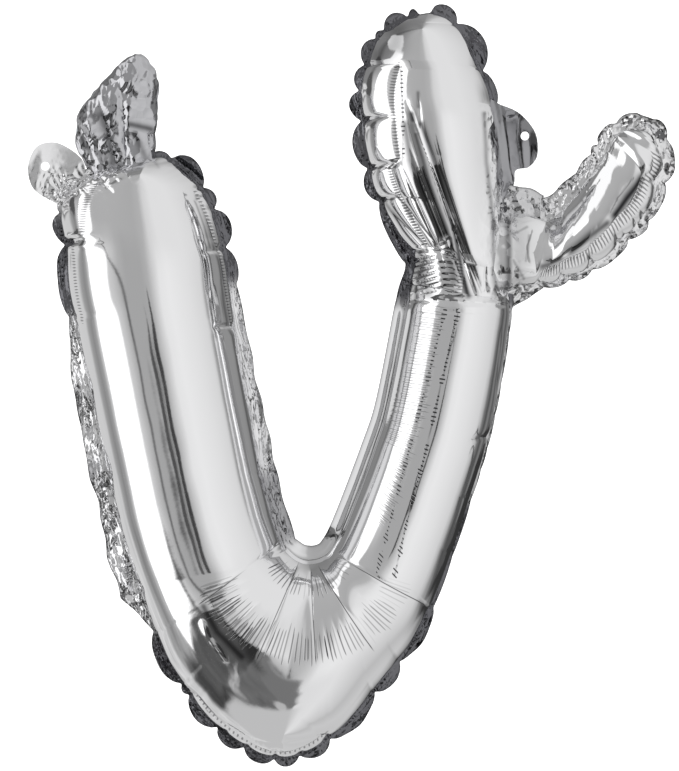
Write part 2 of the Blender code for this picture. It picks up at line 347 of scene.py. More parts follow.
def bandRelief(places, fromSeam, alongRun, bands, gatherReach):
    # A rim of barrels between rings where the seam has gathered hard, with a valley along its inner side.
    # Columns: first row, last row; in mm, width from the seam, height, depth of the valley and of the rings
    total, gathers = np.zeros((2,) + fromSeam.shape)
    bands = [band for band in bands if band[0] > places[0] - 0.02 and band[1] < places[-1] + 0.02]
    if not bands:
        return total, gathers
    seamRun = alongRun[0]
    widths = np.full(len(places), np.nan)
    sinks = np.zeros(len(places))
    for first, last, width, _, valley, _ in bands:
        within = (places >= first) & (places <= last)
        widths[within] = width
        sinks[within] = valley
    known = np.isfinite(widths)
    widths = np.interp(places, places[known], widths[known])
    count = barrels["smooth"]
    kernel = np.ones(count) / count
    widths, sinks = (np.convolve(np.pad(values, count // 2, "edge"), kernel, "valid")
                     for values in (widths, sinks))
    away = fromSeam / widths
    rising = np.exp(-(away - 1) * widths / barrels["valleyReach"])
    sink = np.where(away < 1, np.clip(away, 0, 1) ** barrels["valley"], rising)
    for first, last, width, height, valley, ring in bands:
        start, end = np.interp((first, last), places, seamRun)
        within = (places >= first) & (places <= last)
        barrel = away[:, within]
        u = np.clip((seamRun[within] - start) / (end - start), 0, 1)
        swell = np.sin(math.pi * u) ** barrels["swell"]
        across = np.sin(math.pi * np.clip(barrel, 0, 1) ** barrels["skew"]) ** barrels["round"]
        total[:, within] += height * (barrels["least"] + (1 - barrels["least"]) * swell) * across
        rim = 1 + np.exp((barrel - 1.0) * width / barrels["shallowSoft"])
        sink[:, within] *= 1 - barrels["shallower"] * (1 - swell) / rim
        past = (barrel - barrels["gathersAt"]) * width + gatherReach - barrels["plainReach"]
        gathers[:, within] += np.exp(-(past / gatherReach) ** 2)
        for spot in (first, last):   # half each time, as most rings lie between two bands
            fade = 1 / (1 + np.exp((fromSeam - barrels["ringTo"] * width) / (barrels["ringSoft"] * width)))
            off = acrossSpot(places, alongRun, spot)
            total -= 0.5 * ring * fade * np.exp(-off / barrels["ringHalf"])
    return total - sink * sinks[None], gathers


seamHalf = 0.25   # mm from the seam plane to the rim of each film half
looseWaves = ((55, 1.0), (18, 0.25))   # of the inflated film: size mm, share of its unevenness
plainFilm = {   # what a film piece has where its own settings say nothing else
    "lean": 0.0, "gatherStrength": 1.0, "gatherReach": 1.8, "folds": (), "outerBands": (),
    "innerBands": (), "tickCreases": (), "ripples": (), "foldShade": (), "creased": (), "ridges": (),
    "facets": (), "swells": (),
}


def inflatedHalf(name, rows, side, faceCount, settings):
    settings = plainFilm | settings
    alongCount, acrossCount = faceCount
    places = evenPlaces(rows, alongCount, settings)
    table = smoothTable(rows, places)
    outer, inner = (np.stack([table[:, k], 0 * table[:, k], table[:, k + 1]], 1) for k in (0, 2))
    depth = np.maximum(table[:, 4], 1.0)
    angles = np.linspace(0, math.pi, acrossCount + 1)
    centre = (outer + inner) / 2
    half = (outer - inner) / 2
    leaning = settings["lean"] * np.linalg.norm(half, axis=1) / 2
    points = centre[None] + half[None] * np.cos(angles)[:, None, None]
    points[:, :, 1] += side * depth[None] * np.sin(angles)[:, None]
    points[:, :, 1] += side * leaning[None] * np.sin(2 * angles)[:, None]
    normal = np.cross(np.gradient(points, axis=1), np.gradient(points, axis=0))
    normal /= np.maximum(np.linalg.norm(normal, axis=2, keepdims=True), 1e-9)
    outwards = np.sign(np.sum(normal * (points - centre[None]), axis=2, keepdims=True))[acrossCount // 2]
    normal *= np.where(outwards == 0, 1, outwards)[None]
    fromOuter = np.cumsum(np.linalg.norm(np.diff(points, axis=0, prepend=points[:1]), axis=2), 0)
    alongRun = np.cumsum(np.linalg.norm(np.diff(points, axis=1, prepend=points[:, :1]), axis=2), 1)
    x, z = points[:, :, 0], points[:, :, 2]
    relief, gathers = np.zeros((2,) + x.shape)
    for edge, fromSeam, order in (("outer", fromOuter, 1), ("inner", fromOuter[-1][None] - fromOuter, -1)):
        film = places, fromSeam[::order], alongRun[::order]
        band, drawn = bandRelief(*film, settings[edge + "Bands"], settings["gatherReach"])
        relief += (beadRelief(*film, settings[edge + "Pinches"]) + band)[::order]
        gathers += settings["gatherStrength"] * drawn[::order]
    marks = {"gathers": gathers, "runLength": np.broadcast_to(alongRun[acrossCount // 2], x.shape)}
    marks |= {mark: strongest(x, z, settings[mark]) for mark in ("tickCreases", "ripples", "foldShade", "creased")}
    relief -= creaseDepth(x, z, settings["creases"])
    for ridge in settings["ridges"]:
        relief += ridgeArc(x, z, ridge)
    for swell in settings["swells"]:
        relief += strongest(x, z, (swell,))
    relief += facetRelief(x, z, settings["facets"])
    seed = settings["seed"]
    relief += settings["unevenness"] * layered(softNoise, x, z, looseWaves, seed)
    for number, (size, share, stretch) in enumerate(settings["folds"]):
        fold = crumple(x, z, size, seed + 2 + number, grain=settings["grain"], stretch=stretch)
        relief += share * (1 - strongest(x, z, settings["calm"])) * fold
    points += normal * relief[:, :, None]
    points[:, :, 1] = side * np.maximum(side * points[:, :, 1], seamHalf)
    points[[0, -1], :, 1] = side * seamHalf
    sheet = foilSheet(name, np.concatenate([points, points[:1]]))
    for mark, values in marks.items():
        setNumbers(sheet, mark, np.concatenate([values, values[:1]]))
    closeSheet(sheet)
    return sheet


# Front and back film of the stroke and of its side branch

# Columns: pixel of the photograph where the run starts u, v; beads, crease length mm, crease depth mm,
# bead height per length, how far the scallops of its margin bulge in mm. Then, where they aren't those of a
# plain scallop: free margin mm at the start and at the end, how crumpled it is, how far its free edge leans
# to the front, in mm for each mm of width
plainScallop = (0.3, 0.3, 0.85, 0.0)


def placedRuns(rows, side, runs):   # the pixel where each run starts, made into its first and last row
    spots = [rowNear(rows, side, *run[:2]) for run in runs] + [len(rows) - 1.0]
    return [(*ends, *run[2:], *plainScallop[len(run) - 7:]) for *ends, run in zip(spots, spots[1:], runs)]


strokeOuterRuns = placedRuns(strokeRows, 0, (
    (92, 171, 4, 10, 0.8, 0.06, 2.0, 1.0, 1.0, 1.3), (60, 213, 1, 22, 1.1, 0.05, 5.6),
    (67, 244, 1, 24, 1.2, 0.03, 5.0, 0.3, 2.5), (75, 316, 4, 5, 0.08, 0.01, 0.0, 3.0, 7.5, 1.6),
    (88, 380, 12, 5, 0.08, 0.01, 0.0, 7.5, 9.5, 1.7), (140, 590, 3, 5, 0.08, 0.01, 0.0, 9.5, 1.0, 1.6),
    (154, 630, 1, 12, 0.4, 0.04, 6.2), (182, 684, 1, 10, 0.3, 0.04, 2.6), (190, 694, 1, 12, 0.6, 0.04, 5.2),
    (218, 726, 1, 14, 0.6, 0.04, 5.8), (245, 746, 1, 14, 0.6, 0.04, 5.0), (274, 757, 1, 14, 0.6, 0.04, 4.6),
    (299, 752, 1, 14, 0.6, 0.04, 5.2), (328, 737, 1, 16, 0.7, 0.03, 5.4),
    (373, 691, 1, 10, 0.4, 0.03, 5.0, 0.3, 0.5), (398, 660, 1, 8, 0.2, 0.03, 3.4, 0.5, 1.4),
    (430, 605, 2, 5, 0.1, 0.01, 0.6, 1.4, 0.8, 0.4), (469, 499, 3, 5, 0.1, 0.01, 0.4, 0.8, 0.8, 0.2),
    (493, 414, 3, 6, 0.2, 0.01, 0.4, 0.8, 0.8, 0.2), (509, 310, 4, 9, 0.5, 0.03, 1.0, 1.0, 1.0),
    (504, 220, 5, 6, 0.3, 0.03, 0.8, 1.0, 1.0), (494, 108, 1, 12, 0.6, 0.05, 4.2),
    (480, 72, 1, 14, 0.7, 0.04, 7.4), (455, 26, 1, 10, 0.5, 0.05, 6.0),
))
strokeInnerRuns = placedRuns(strokeRows, 1, (
    (151, 158, 1, 12, 0.6, 0.04, 3.2), (171, 160, 1, 18, 0.6, 0.02, 6.4), (201, 189, 1, 14, 0.8, 0.02, 4.4),
    (213, 210, 1, 12, 0.5, 0.01, 6.6), (223, 248, 1, 8, 0.6, 0.02, 4.2, 0.3, 2.5),
    (229, 285, 12, 5, 0.08, 0.01, 0.0, 3.5, 6.5, 1.6),
    (263, 470, 3, 5, 0.05, 0.01, 0.0, 6.5, 6.0, 1.0, -0.2),
    (286, 546, 1, 5, 0.05, 0.0, 0.0, 6.0, 7.0, 0.02, -0.25),
    (307, 560, 1, 5, 0.05, 0.0, 0.0, 7.0, 6.0, 0.02, -0.25),
    (338, 536, 3, 4, 0.05, 0.0, 0.0, 6.0, 5.0, 0.02, 0.2), (406, 306, 1, 14, 0.9, 0.05, 0.0, 5.0, 3.5, 0.7),
    (412, 262, 1, 22, 1.0, 0.04, 3.5, 3.5, 0.5, 0.6), (380, 201, 1, 20, 1.0, 0.05, 4.8),
    (369, 168, 1, 20, 1.1, 0.05, 6.4), (364, 121, 1, 20, 1.1, 0.05, 5.8), (362, 91, 1, 6, 0.4, 0.05, 4.4),
    (368, 66, 1, 16, 0.8, 0.05, 4.8), (378, 41, 1, 8, 0.5, 0.05, 2.6), (385, 31, 1, 10, 0.6, 0.05, 5.8),
    (409, 20, 1, 12, 0.7, 0.05, 3.6),
))
branchOuterRuns = placedRuns(branchRows, 0, (
    (500, 295, 2, 8, 0.5, 0.05, 0.0, 9.0, 3.0, 1.2), (541, 281, 1, 13, 0.7, 0.08, 2.2, 1.5, 2.0, 1.2),
    (567, 275, 1, 13, 0.7, 0.08, 2.4, 2.0, 2.0, 1.2), (590, 265, 1, 13, 0.7, 0.08, 3.0, 2.0, 2.5, 1.2),
    (625, 236, 1, 13, 0.7, 0.08, 2.8, 2.5, 3.0, 1.3), (643, 217, 1, 13, 0.7, 0.08, 3.2, 3.0, 4.0, 1.3),
    (659, 181, 1, 9, 0.6, 0.06, 3.0, 4.0, 5.0, 1.2), (657, 145, 1, 9, 0.6, 0.06, 1.6, 5.0, 6.5, 1.3),
))
branchInnerRuns = placedRuns(branchRows, 1, (
    (481, 205, 3, 7, 0.2, 0.01, 0.0, 13.0, 12.0, 1.12, -0.2),
    (549, 219, 3, 8, 0.2, 0.01, 0.0, 11.0, 7.0, 1.3, -0.1), (585, 182, 2, 6, 0.2, 0.01, 1.5, 6.0, 5.0, 1.4),
    (606, 150, 1, 6, 0.3, 0.02, 4.0, 3.0, 3.0, 1.3), (621, 131, 1, 6, 0.4, 0.03, 1.6, 4.0, 6.5, 1.3),
))

leftStrokeCreases = [
    (62, 243, 108, 244, 1.7, 1.3, "end"), (64, 237, 100, 238, -0.7, 1.1), (66, 249, 104, 250, -0.6, 1.1),
    (66, 200, 112, 170, 0.7, 1.3, "end"), (68, 192, 122, 182, 0.8, 1.4, "end"),
    (64, 206, 100, 190, 0.6, 1.2, "end"), (80, 168, 118, 188, 0.7, 1.2, "end"),
    (104, 160, 118, 190, -0.6, 1.3, "end"), (152, 148, 142, 184, -0.8, 2.6, "end"),
    (150, 158, 162, 172, 0.8, 1.6, "end"), (208, 196, 194, 206, 0.8, 1.1, "end"),
    (226, 250, 206, 254, 0.8, 1.2, "end"), (219, 285, 226, 330, -0.3, 1.0),
    (70, 317, 98, 319, 1.0, 1.1, "end"), (240, 325, 214, 328, 1.0, 1.1, "end"),
]
leftStrokeCreases += scatter((58, 158), (52, 32), (-60, 60), (12, 30), 34, 0.95, 0.9, 41)
leftStrokeCreases += fan((214, 146), (24, 60), (118, 165), 11, 0.2, 0.9, 42)
bendCreases = [
    (279, 543, 198, 598, 0.55, 0.9, "end"), (297, 565, 262, 652, 0.5, 0.8, "end"),
    (311, 570, 316, 654, 0.45, 0.8, "end"), (322, 570, 378, 644, 0.55, 0.8, "end"),
    (340, 552, 418, 598, 0.55, 0.9, "end"), (325, 737, 300, 706, 0.6, 1.4, "end"),
    (325, 735, 392, 650, 0.35, 2.0, "end"), (277, 755, 277, 712, 0.6, 1.4, "end"),
    (186, 684, 222, 724, 0.5, 1.4), (226, 720, 252, 738, 0.7, 1.3), (206, 613, 213, 632, -0.7, 1.0),
    (211, 628, 230, 654, -0.9, 1.0), (248, 736, 276, 739, 0.7, 1.3), (276, 739, 304, 734, 0.6, 1.3),
    (300, 735, 326, 732, 0.5, 1.3),
]
bendCreases += [(228 + 5 * k, 719 + 2.4 * k, 227 + 5 * k, 728 + 2.2 * k, 0.35, 0.6) for k in range(8)]
bendCreases += fan((310, 548), (60, 100), (24, 158), 16, 0.16, 1.6, 11)
rightStrokeCreases = [
    (404, 300, 512, 306, 1.6, 1.8), (408, 294, 505, 299, -0.5, 1.0), (412, 312, 500, 314, 0.4, 0.9),
    (492, 436, 466, 440, 1.0, 1.4, "end"), (500, 330, 494, 410, 0.3, 1.2), (447, 308, 384, 548, 0.10, 1.3),
    (459, 308, 404, 524, 0.12, 1.3),
]
lobeCreases = [
    (404, 108, 474, 300, 1.7, 2.6), (398, 170, 448, 284, 0.8, 1.4), (410, 118, 474, 300, 0.7, 1.6),
    (412, 134, 480, 296, 0.6, 1.2), (406, 150, 462, 292, 0.7, 1.3), (416, 98, 419, 142, 0.7, 1.1),
    (424, 150, 484, 300, 0.35, 1.2), (503, 200, 503, 300, 0.8, 1.6),
]
lobeCreases += scatter((484, 105), (20, 190), (70, 110), (14, 46), 34, 0.5, 0.9, 43)
lobeCreases += [(434 + k, 254 + 5.6 * k, 453 + k, 257 + 5.6 * k, 0.7, 0.6) for k in range(8)]
lobeCreases += [(411 + k, 262 + 5.5 * k, 433 + k, 257 + 5.5 * k, 1.0, 0.7) for k in range(7)]
lobeCreases += [(432 + 3 * k, 252 - 4 * k, 447 + 3 * k, 246 - 4 * k, 0.7, 0.7) for k in range(3)]
lobeCreases += [(383, 203, 424, 254, 0.7, 0.9), (391, 200, 432, 249, 0.6, 0.8)]
backCreases = [
    (277, 545, 190, 610, 0.9, 1.9, "end"), (300, 565, 250, 660, 0.8, 1.7, "end"),
    (313, 570, 322, 660, 0.8, 1.7, "end"), (326, 568, 385, 645, 0.8, 1.7, "end"),
    (340, 552, 425, 600, 0.9, 1.9, "end"), (404, 302, 512, 305, 1.4, 2.4), (396, 140, 462, 292, 1.2, 2.6),
    (72, 242, 140, 262, 0.9, 2.0, "end"), (158, 200, 176, 380, 0.4, 1.8),
    (230, 252, 180, 262, 0.9, 2.0, "end"),
]
backCreases += fan((310, 548), (62, 98), (24, 156), 26, 0.4, 1.1, 31)
backCreases += fan((308, 530), (24, 52), (15, 165), 12, 0.5, 1.2, 32)
branchCreases = scatter((503, 215), (24, 75), (-40, 60), (10, 24), 18, 0.5, 0.9, 45)
branchCreases += [line + (0.7, 0.9) for line in (
    (535, 275, 531, 250), (531, 256, 539, 234), (526, 266, 523, 244), (523, 250, 531, 228))]   # rings

# Routes. Columns: pixels along the fold, width mm, how strong. They mark painted shade: where the film is
# folded deep, its colour is darkened, as it mirrors only itself there.
strokeFoldShade = (
    (((409, 132), (424, 180), (446, 244), (452, 280)), 3.6, 0.55),
    (((398, 74), (400, 118), (399, 166)), 0.35, 0.5),
    (((402, 130), (408, 165), (424, 208), (440, 240)), 2.2, 0.75), (((409, 120), (410, 126)), 1.6, 0.9),
    (((416, 99), (416, 113)), 0.8, 0.6), (((413, 140), (428, 190), (444, 232), (449, 248)), 1.5, 0.85),
    (((419, 130), (436, 180), (452, 235), (460, 278), (466, 297)), 1.6, 0.9),
    (((425, 142), (441, 190)), 0.7, 0.5), (((384, 204), (424, 254)), 0.6, 0.6),
    (((392, 200), (433, 248)), 0.45, 0.8), (((208, 600), (221, 624), (245, 648)), 1.7, 0.8),
    (((504, 215), (506, 292)), 1.6, 0.8), (((482, 118), (484, 165), (490, 215), (494, 296)), 1.2, 0.5),
    (((495, 130), (497, 205)), 0.9, 0.45),
    (((456, 314), (440, 380), (424, 450), (405, 520), (393, 572)), 0.22, 0.55),
    (((198, 203), (207, 228), (213, 250)), 0.5, 0.5), (((416, 262), (426, 294)), 3.2, 0.6),
    (((381, 60), (394, 50), (397, 36)), 6.0, 0.5),
)
branchFoldShade = (
    (((638, 181), (624, 199), (612, 217)), 3.4, 1.0), (((629, 179), (613, 200), (606, 214)), 0.5, 0.7),
    (((603, 226), (586, 238), (568, 254)), 2.5, 0.85), (((556, 262), (540, 268)), 2.2, 0.8),
    (((507, 222), (507, 290)), 1.8, 0.7), (((518, 222), (516, 282)), 6.0, 0.25),
    (((528, 236), (524, 262)), 0.8, 0.5), (((512, 236), (526, 228)), 0.9, 0.5),
    (((511, 262), (522, 280)), 1.0, 0.55),
)
strokeFilm = {
    "outerPinches": pinchPlaces(strokeOuterRuns, 3), "innerPinches": pinchPlaces(strokeInnerRuns, 4),
    "outerBands": (
        (1.35, 3.0, 30, 1.3, 0.0, 2.0), (3.0, 4.05, 19, 0.4, 0.1, 0.8), (8.2, 9.1, 14, 0.5, 1.2, 0.8),
        (9.1, 9.5, 13, 0.4, 1.2, 0.6), (9.5, 10.0, 13, 0.4, 1.2, 0.6), (10.0, 10.5, 13, 0.4, 1.2, 0.6),
        (10.5, 11.0, 14, 0.5, 1.2, 0.8),
    ),
    "innerBands": (
        (2.0, 3.02, 12, 0.5, 1.1, 0.9), (3.02, 4.05, 10, 0.4, 0.8, 0.7), (16.25, 17.3, 38, 1.0, 2.6, 1.2),
        (17.3, 19.0, 21, 0.8, 3.0, 1.0), (19.0, 20.0, 21, 1.0, 2.6, 1.0), (20.0, 21.0, 29, 1.3, 2.4, 1.3),
        (21.0, 22.8, 29, 1.3, 2.2, 1.3),
    ),
    "unevenness": 0.05, "seed": 100, "first": 0.0, "last": 26.0,
}
branchFilm = {
    "outerPinches": pinchPlaces(branchOuterRuns, 5), "innerPinches": pinchPlaces(branchInnerRuns, 6),
    "outerBands": (
        (3.2, 4.1, 15, 1.2, 3.4, 0.9), (4.1, 5.05, 16, 1.3, 4.2, 0.9), (5.05, 5.8, 17, 1.4, 5.4, 1.0),
        (5.8, 6.6, 17, 1.4, 6.0, 1.0), (6.6, 8.0, 17, 1.5, 5.6, 1.0), (8.0, 9.2, 13, 0.8, 1.4, 0.7),
    ),
    "unevenness": 0.1, "seed": 140, "first": 0.3, "last": 11.0, "lean": 0.46, "gatherStrength": 1.6,
    "gatherReach": 3.0, "creases": branchCreases, "foldShade": branchFoldShade,
    "creased": ((((508, 225), (510, 285)), 4.0, 1),),
}
frontFilm = strokeFilm | {
    "creases": leftStrokeCreases + bendCreases + rightStrokeCreases + lobeCreases, "foldShade": strokeFoldShade,
    "ridges": (
        {"centre": (310, 548), "radius": 104, "degrees": (100, 168), "soft": 18, "height": 1.7, "width": 8},
    ),
    "swells": ((((86, 186), (88, 215), (91, 240)), 6.5, 1.8), (((96, 250), (104, 300)), 8.0, 0.6)),
    "tickCreases": (
        (((443, 312), (426, 380), (402, 470), (376, 568)), 0.9, 1),
        (((456, 312), (440, 380), (424, 450), (405, 520), (393, 572)), 1.0, 1),
        (((399, 74), (400, 118), (400, 164)), 0.9, 1),
    ),
    "ripples": (
        (((435, 314), (418, 408), (400, 466), (383, 516)), 3.2, 1),
        (((425, 314), (409, 380), (393, 440)), 3.0, 1),
    ),
    "creased": (
        (((62, 186), (90, 170), (112, 172)), 8.0, 1),
        (((494, 120), (496, 180), (492, 240), (494, 292)), 5.0, 1),
    ),
}
splitRow = 16.25   # the stroke's front is two pieces, parted under the strongest ring
faceCounts = {   # along and across each piece
    "stroke": (690, 136), "lobe": (300, 180), "back": (560, 90), "branch": (230, 84), "neck": (110, 64),
}

lowerFilm = frontFilm | {"last": splitRow}
upperFilm = frontFilm | {"first": splitRow}
frontStroke = inflatedHalf("front_stroke_foil", strokeRows, -1, faceCounts["stroke"], lowerFilm)
frontLobe = inflatedHalf("front_lobe_foil", strokeRows, -1, faceCounts["lobe"], upperFilm)
frontBranch = inflatedHalf("front_branch_foil", branchRows, -1, faceCounts["branch"], branchFilm)
report("front film", frontStroke, frontLobe, frontBranch)

backStrokeFilm = strokeFilm | {"creases": backCreases, "seed": 200}
backBranchFilm = branchFilm | {"seed": 240, "foldShade": ()}
backStroke = inflatedHalf("back_stroke", strokeRows, 1, faceCounts["back"], backStrokeFilm)
backBranch = inflatedHalf("back_branch", branchRows, 1, faceCounts["branch"], backBranchFilm)
backFilm = joinPieces([backStroke, backBranch], "back_film_foil")
report("back film", backFilm)


# Free margin outside the seam, where both films are welded flat and have puckered

marginSheet = {
    "thickness": 0.35, "lap": 2.6, "across": 16, "lift": 3.2, "foldSize": 4.0, "stretch": 6.0, "seed": 300,
    "rim": 0.45, "spacing": 0.58, "deep": 0.0, "deepFrom": 1.12, "deepSoft": 0.08,
    "smoothMarks": 12, "smoothWidth": 1.5, "smoothSeam": 6, "smoothTurn": 14, "uneven": 0.04,
    "unevenSize": 14, "held": 2.5, "fineSize": 0.4, "fine": 0.3, "sway": 0.22, "swaySize": 32,
    "scallop": 0.55, "brightFrom": 0.9, "brightSoft": 0.3, "flatUnder": 0.4, "calmer": 0.6,
}   # sizes in mm, but fineSize is a share of foldSize; held: how far from the seam it lies flat
branchMargin = marginSheet | {"seed": 310, "stretch": 2.0, "lift": 3.4, "foldSize": 4.6, "deep": 0.85}
seamSteps = 1500   # sections sampled before the seam is spaced evenly


def marginShape(runs, places, pinches):   # free width mm, how crumpled, how it leans, how bright, by place
    spots = np.array([pinch[0] for pinch in pinches])
    k = np.clip(np.searchsorted(spots, places, side="right") - 1, 0, len(spots) - 2)
    u = (places - spots[k]) / (spots[k + 1] - spots[k])
    scallop = np.sin(math.pi * np.clip(u, 0, 1)) ** marginSheet["scallop"]
    width, rough, lean = np.zeros((3, len(places)))
    for first, last, *_, bulge, start, end, crumpled, leaning in runs:
        within = (places >= first) & (places <= last)
        share = (places[within] - first) / (last - first)
        width[within] = start + (end - start) * share + bulge * scallop[within]
        rough[within] = crumpled
        lean[within] = leaning
    bright = np.clip((rough - marginSheet["brightFrom"]) / marginSheet["brightSoft"], 0, 1)
    bright += rough < marginSheet["flatUnder"]   # only the scallops get painted shade
    return np.stack([width, rough, lean, bright])


def marginStrip(seam, shape, settings):
    run = runAlong(seam)
    even = np.linspace(0, run[-1], int(run[-1] / settings["spacing"]))
    seam = np.stack([np.interp(even, run, values) for values in seam.T], 1)
    width, *others = (np.interp(even, run, values) for values in shape)
    rough, lean, bright = smoothLine(np.stack(others, 1), settings["smoothMarks"], even).T
    width = smoothLine(width[:, None], settings["smoothWidth"], even)[:, 0]
    seam = smoothLine(seam, settings["smoothSeam"], runAlong(seam))
    along = np.gradient(smoothLine(seam, settings["smoothTurn"], runAlong(seam)), axis=0)
    along /= np.maximum(np.linalg.norm(along, axis=1, keepdims=True), 1e-6)
    out = np.stack([along[:, 1], -along[:, 0]], 1)
    noise = softNoise(seam[:, 0], seam[:, 1], settings["unevenSize"], settings["seed"])
    width = width * (1 + settings["uneven"] * rough * noise)
    shares = np.linspace(0, 1, settings["across"])
    reach = -settings["lap"] + shares[:, None] * (settings["lap"] + width[None])
    flat = seam[None] + out[None] * reach[:, :, None]
    x, z = flat[:, :, 0], flat[:, :, 1]
    long = np.broadcast_to(even[None] / settings["stretch"], reach.shape)
    free = np.clip(reach / settings["held"], 0, 1)
    size = settings["foldSize"]
    layers = ((size, 1), (size * settings["fineSize"], settings["fine"]))
    folds = layered(crumple, long, reach, layers, settings["seed"] + 1)
    sway = softNoise(x, z, settings["swaySize"], settings["seed"] + 3)
    lift = settings["lift"] * free * rough[None] * folds
    lift += free * reach * (settings["sway"] * sway * np.minimum(rough[None] * 2, 1) - lean[None])
    sheet = thinSheet("margin_strip", x, lift, z, settings["thickness"])
    crinkled = np.minimum(rough, 1.0) * (1 - settings["calmer"] * np.minimum(bright, 1.0))
    marks = {
        "brightness": np.broadcast_to(bright, x.shape),
        "rim": np.exp(-(width[None] - reach) / settings["rim"]),
        "crinkled": np.broadcast_to(crinkled, x.shape),
        "deep": settings["deep"] * free * np.clip(
            (rough[None] - settings["deepFrom"]) / settings["deepSoft"], 0, 1),
    }
    for mark, values in marks.items():
        setNumbers(sheet, mark, np.concatenate([values, values[::-1], values[:1]]))
    closeSheet(sheet)
    return sheet


strips = []
for rows, outerRuns, innerRuns, film, settings in (
        (strokeRows, strokeOuterRuns, strokeInnerRuns, strokeFilm, marginSheet),
        (branchRows, branchOuterRuns, branchInnerRuns, branchFilm, branchMargin)):
    places = evenPlaces(rows, seamSteps, film)
    outerShape = marginShape(outerRuns, places, film["outerPinches"])
    innerShape = marginShape(innerRuns, places, film["innerPinches"])
    table = smoothTable(rows, places)
    seam = np.concatenate([table[:, 0:2], table[::-1, 2:4]])
    strips.append(marginStrip(seam, np.concatenate([outerShape, innerShape[:, ::-1]], 1), settings))
seamMargin = joinPieces(strips, "seam_margin_foil")
report("seam margin", seamMargin)


# Filling neck with its flat valve, and the two punched hang tabs

neckRuns = ((0.0, 5.0, 5, 8, 0.4, 0.02),)
neckFilm = {
    "outerPinches": pinchPlaces(neckRuns, 7), "innerPinches": pinchPlaces(neckRuns, 8),
    "unevenness": 0.6, "seed": 160, "first": 0.0, "last": 5.0,
    "folds": ((13, 2.2, 2.6), (5, 0.77, 2.0)), "grain": 80,   # size mm, height mm, stretch along the grain
    "calm": (   # where it is less folded
        (((138, 109), (147, 110)), 4.4, 0.9), (((136, 129), (147, 129)), 4.5, 0.9),
        (((110, 140), (116, 160)), 2.5, 0.9),
    ),
    "facets": (
        (112, 150, 5.0, -0.2, 0.6), (84, 130, 5.0, 0.6, 0.1),
        (101, 132, 4.0, -0.5, 0.3), (128, 90, 5.0, 0.2, 0.3),
    ),
    "creases": [
        (127, 165, 124, 100, 2.2, 1.6), (130, 121, 157, 121, 0.7, 1.4), (118, 168, 104, 112, 1.6, 1.5),
        (94, 160, 80, 126, 1.4, 1.6), (131, 100, 152, 100, 1.0, 1.2),
    ],
    # routes of painted shade in deep folds, as on the stroke
    "foldShade": (
        (((103, 118), (110, 138), (114, 164)), 2.4, 0.75), (((131, 126), (152, 130)), 1.6, 0.8),
        (((76, 128), (88, 150)), 1.0, 0.7), (((90, 108), (98, 122)), 1.2, 0.5),
        (((135, 135), (146, 160)), 1.6, 0.5),
    ),
}
neckFront = inflatedHalf("neck_front_foil", neckRows, -1, faceCounts["neck"], neckFilm)
neckBack = inflatedHalf("neck_back_foil", neckRows, 1, faceCounts["neck"], neckFilm | {"seed": 170})
report("filling neck", neckFront, neckBack)

valveTongue = {"thickness": 0.3, "firstRow": 0.4, "lastRow": 4.8, "along": 60, "across": 14, "inset": 0.02}


def valveSheet(name, rows, settings):
    table = smoothTable(rows, np.linspace(settings["firstRow"], settings["lastRow"], settings["along"]))
    outer, inner = table[:, 0:2], table[:, 2:4]
    shares = np.linspace(settings["inset"], 1 - settings["inset"], settings["across"])[:, None, None]
    flat = outer[None] + (inner - outer)[None] * shares
    x, z = flat[:, :, 0], flat[:, :, 1]
    sheet = thinSheet(name, x, x * 0, z, settings["thickness"])
    closeSheet(sheet)
    return sheet


valve = valveSheet("valve_tongue", neckRows, valveTongue)

leftTab = {
    "outline": ((-96, -14), (-96, -6), (-102, 0), (-110, 3.5), (-118, 1), (-122, -8), (-120, -18),
                (-112, -24), (-100, -28)),
    "centre": (-109, -11), "hole": (-114, -8), "lift": 0.5, "curl": 1.0, "seed": 400,
    "folds": ((-101, 3.0, 0.8, 0.5), (-117, 2.4, 0.5, 0.2)),
    "root": -96, "tiltX": 0.17, "tiltZ": 0.05, "gather": (-105, -20), "gatherSize": 8, "gatherLift": 5.0,
}
rightTab = {
    "outline": ((94, 22), (102, 21), (111, 15.5), (118, 7), (119, -3), (115, -8.5), (109, -10),
                (108, -17), (101, -26), (94, -10)),
    "centre": (105, 1), "hole": (113, 6), "lift": 0.2, "curl": -1.0, "seed": 420,
    "folds": ((99.5, 2.6, 1.3, -0.20), (105.5, 2.0, -0.9, -0.12), (111, 2.4, 1.0, -0.10),
              (116, 2.0, -0.6, -0.05)),
    "root": 94, "tiltX": -0.22, "tiltZ": -0.15, "gather": (101, -18), "gatherSize": 6, "gatherLift": 3.0,
}
tabFilm = {   # layers of folds: size mm, share of the lift
    "thickness": 0.35, "edgePoints": 180, "rings": 36, "layers": ((18, 1.4), (5, 0.25)), "gatherFolds": 4.5,
    "curlReach": 12, "curlSize": 30,
}
punch = {"radius": 2.0, "sides": 24, "length": 40}


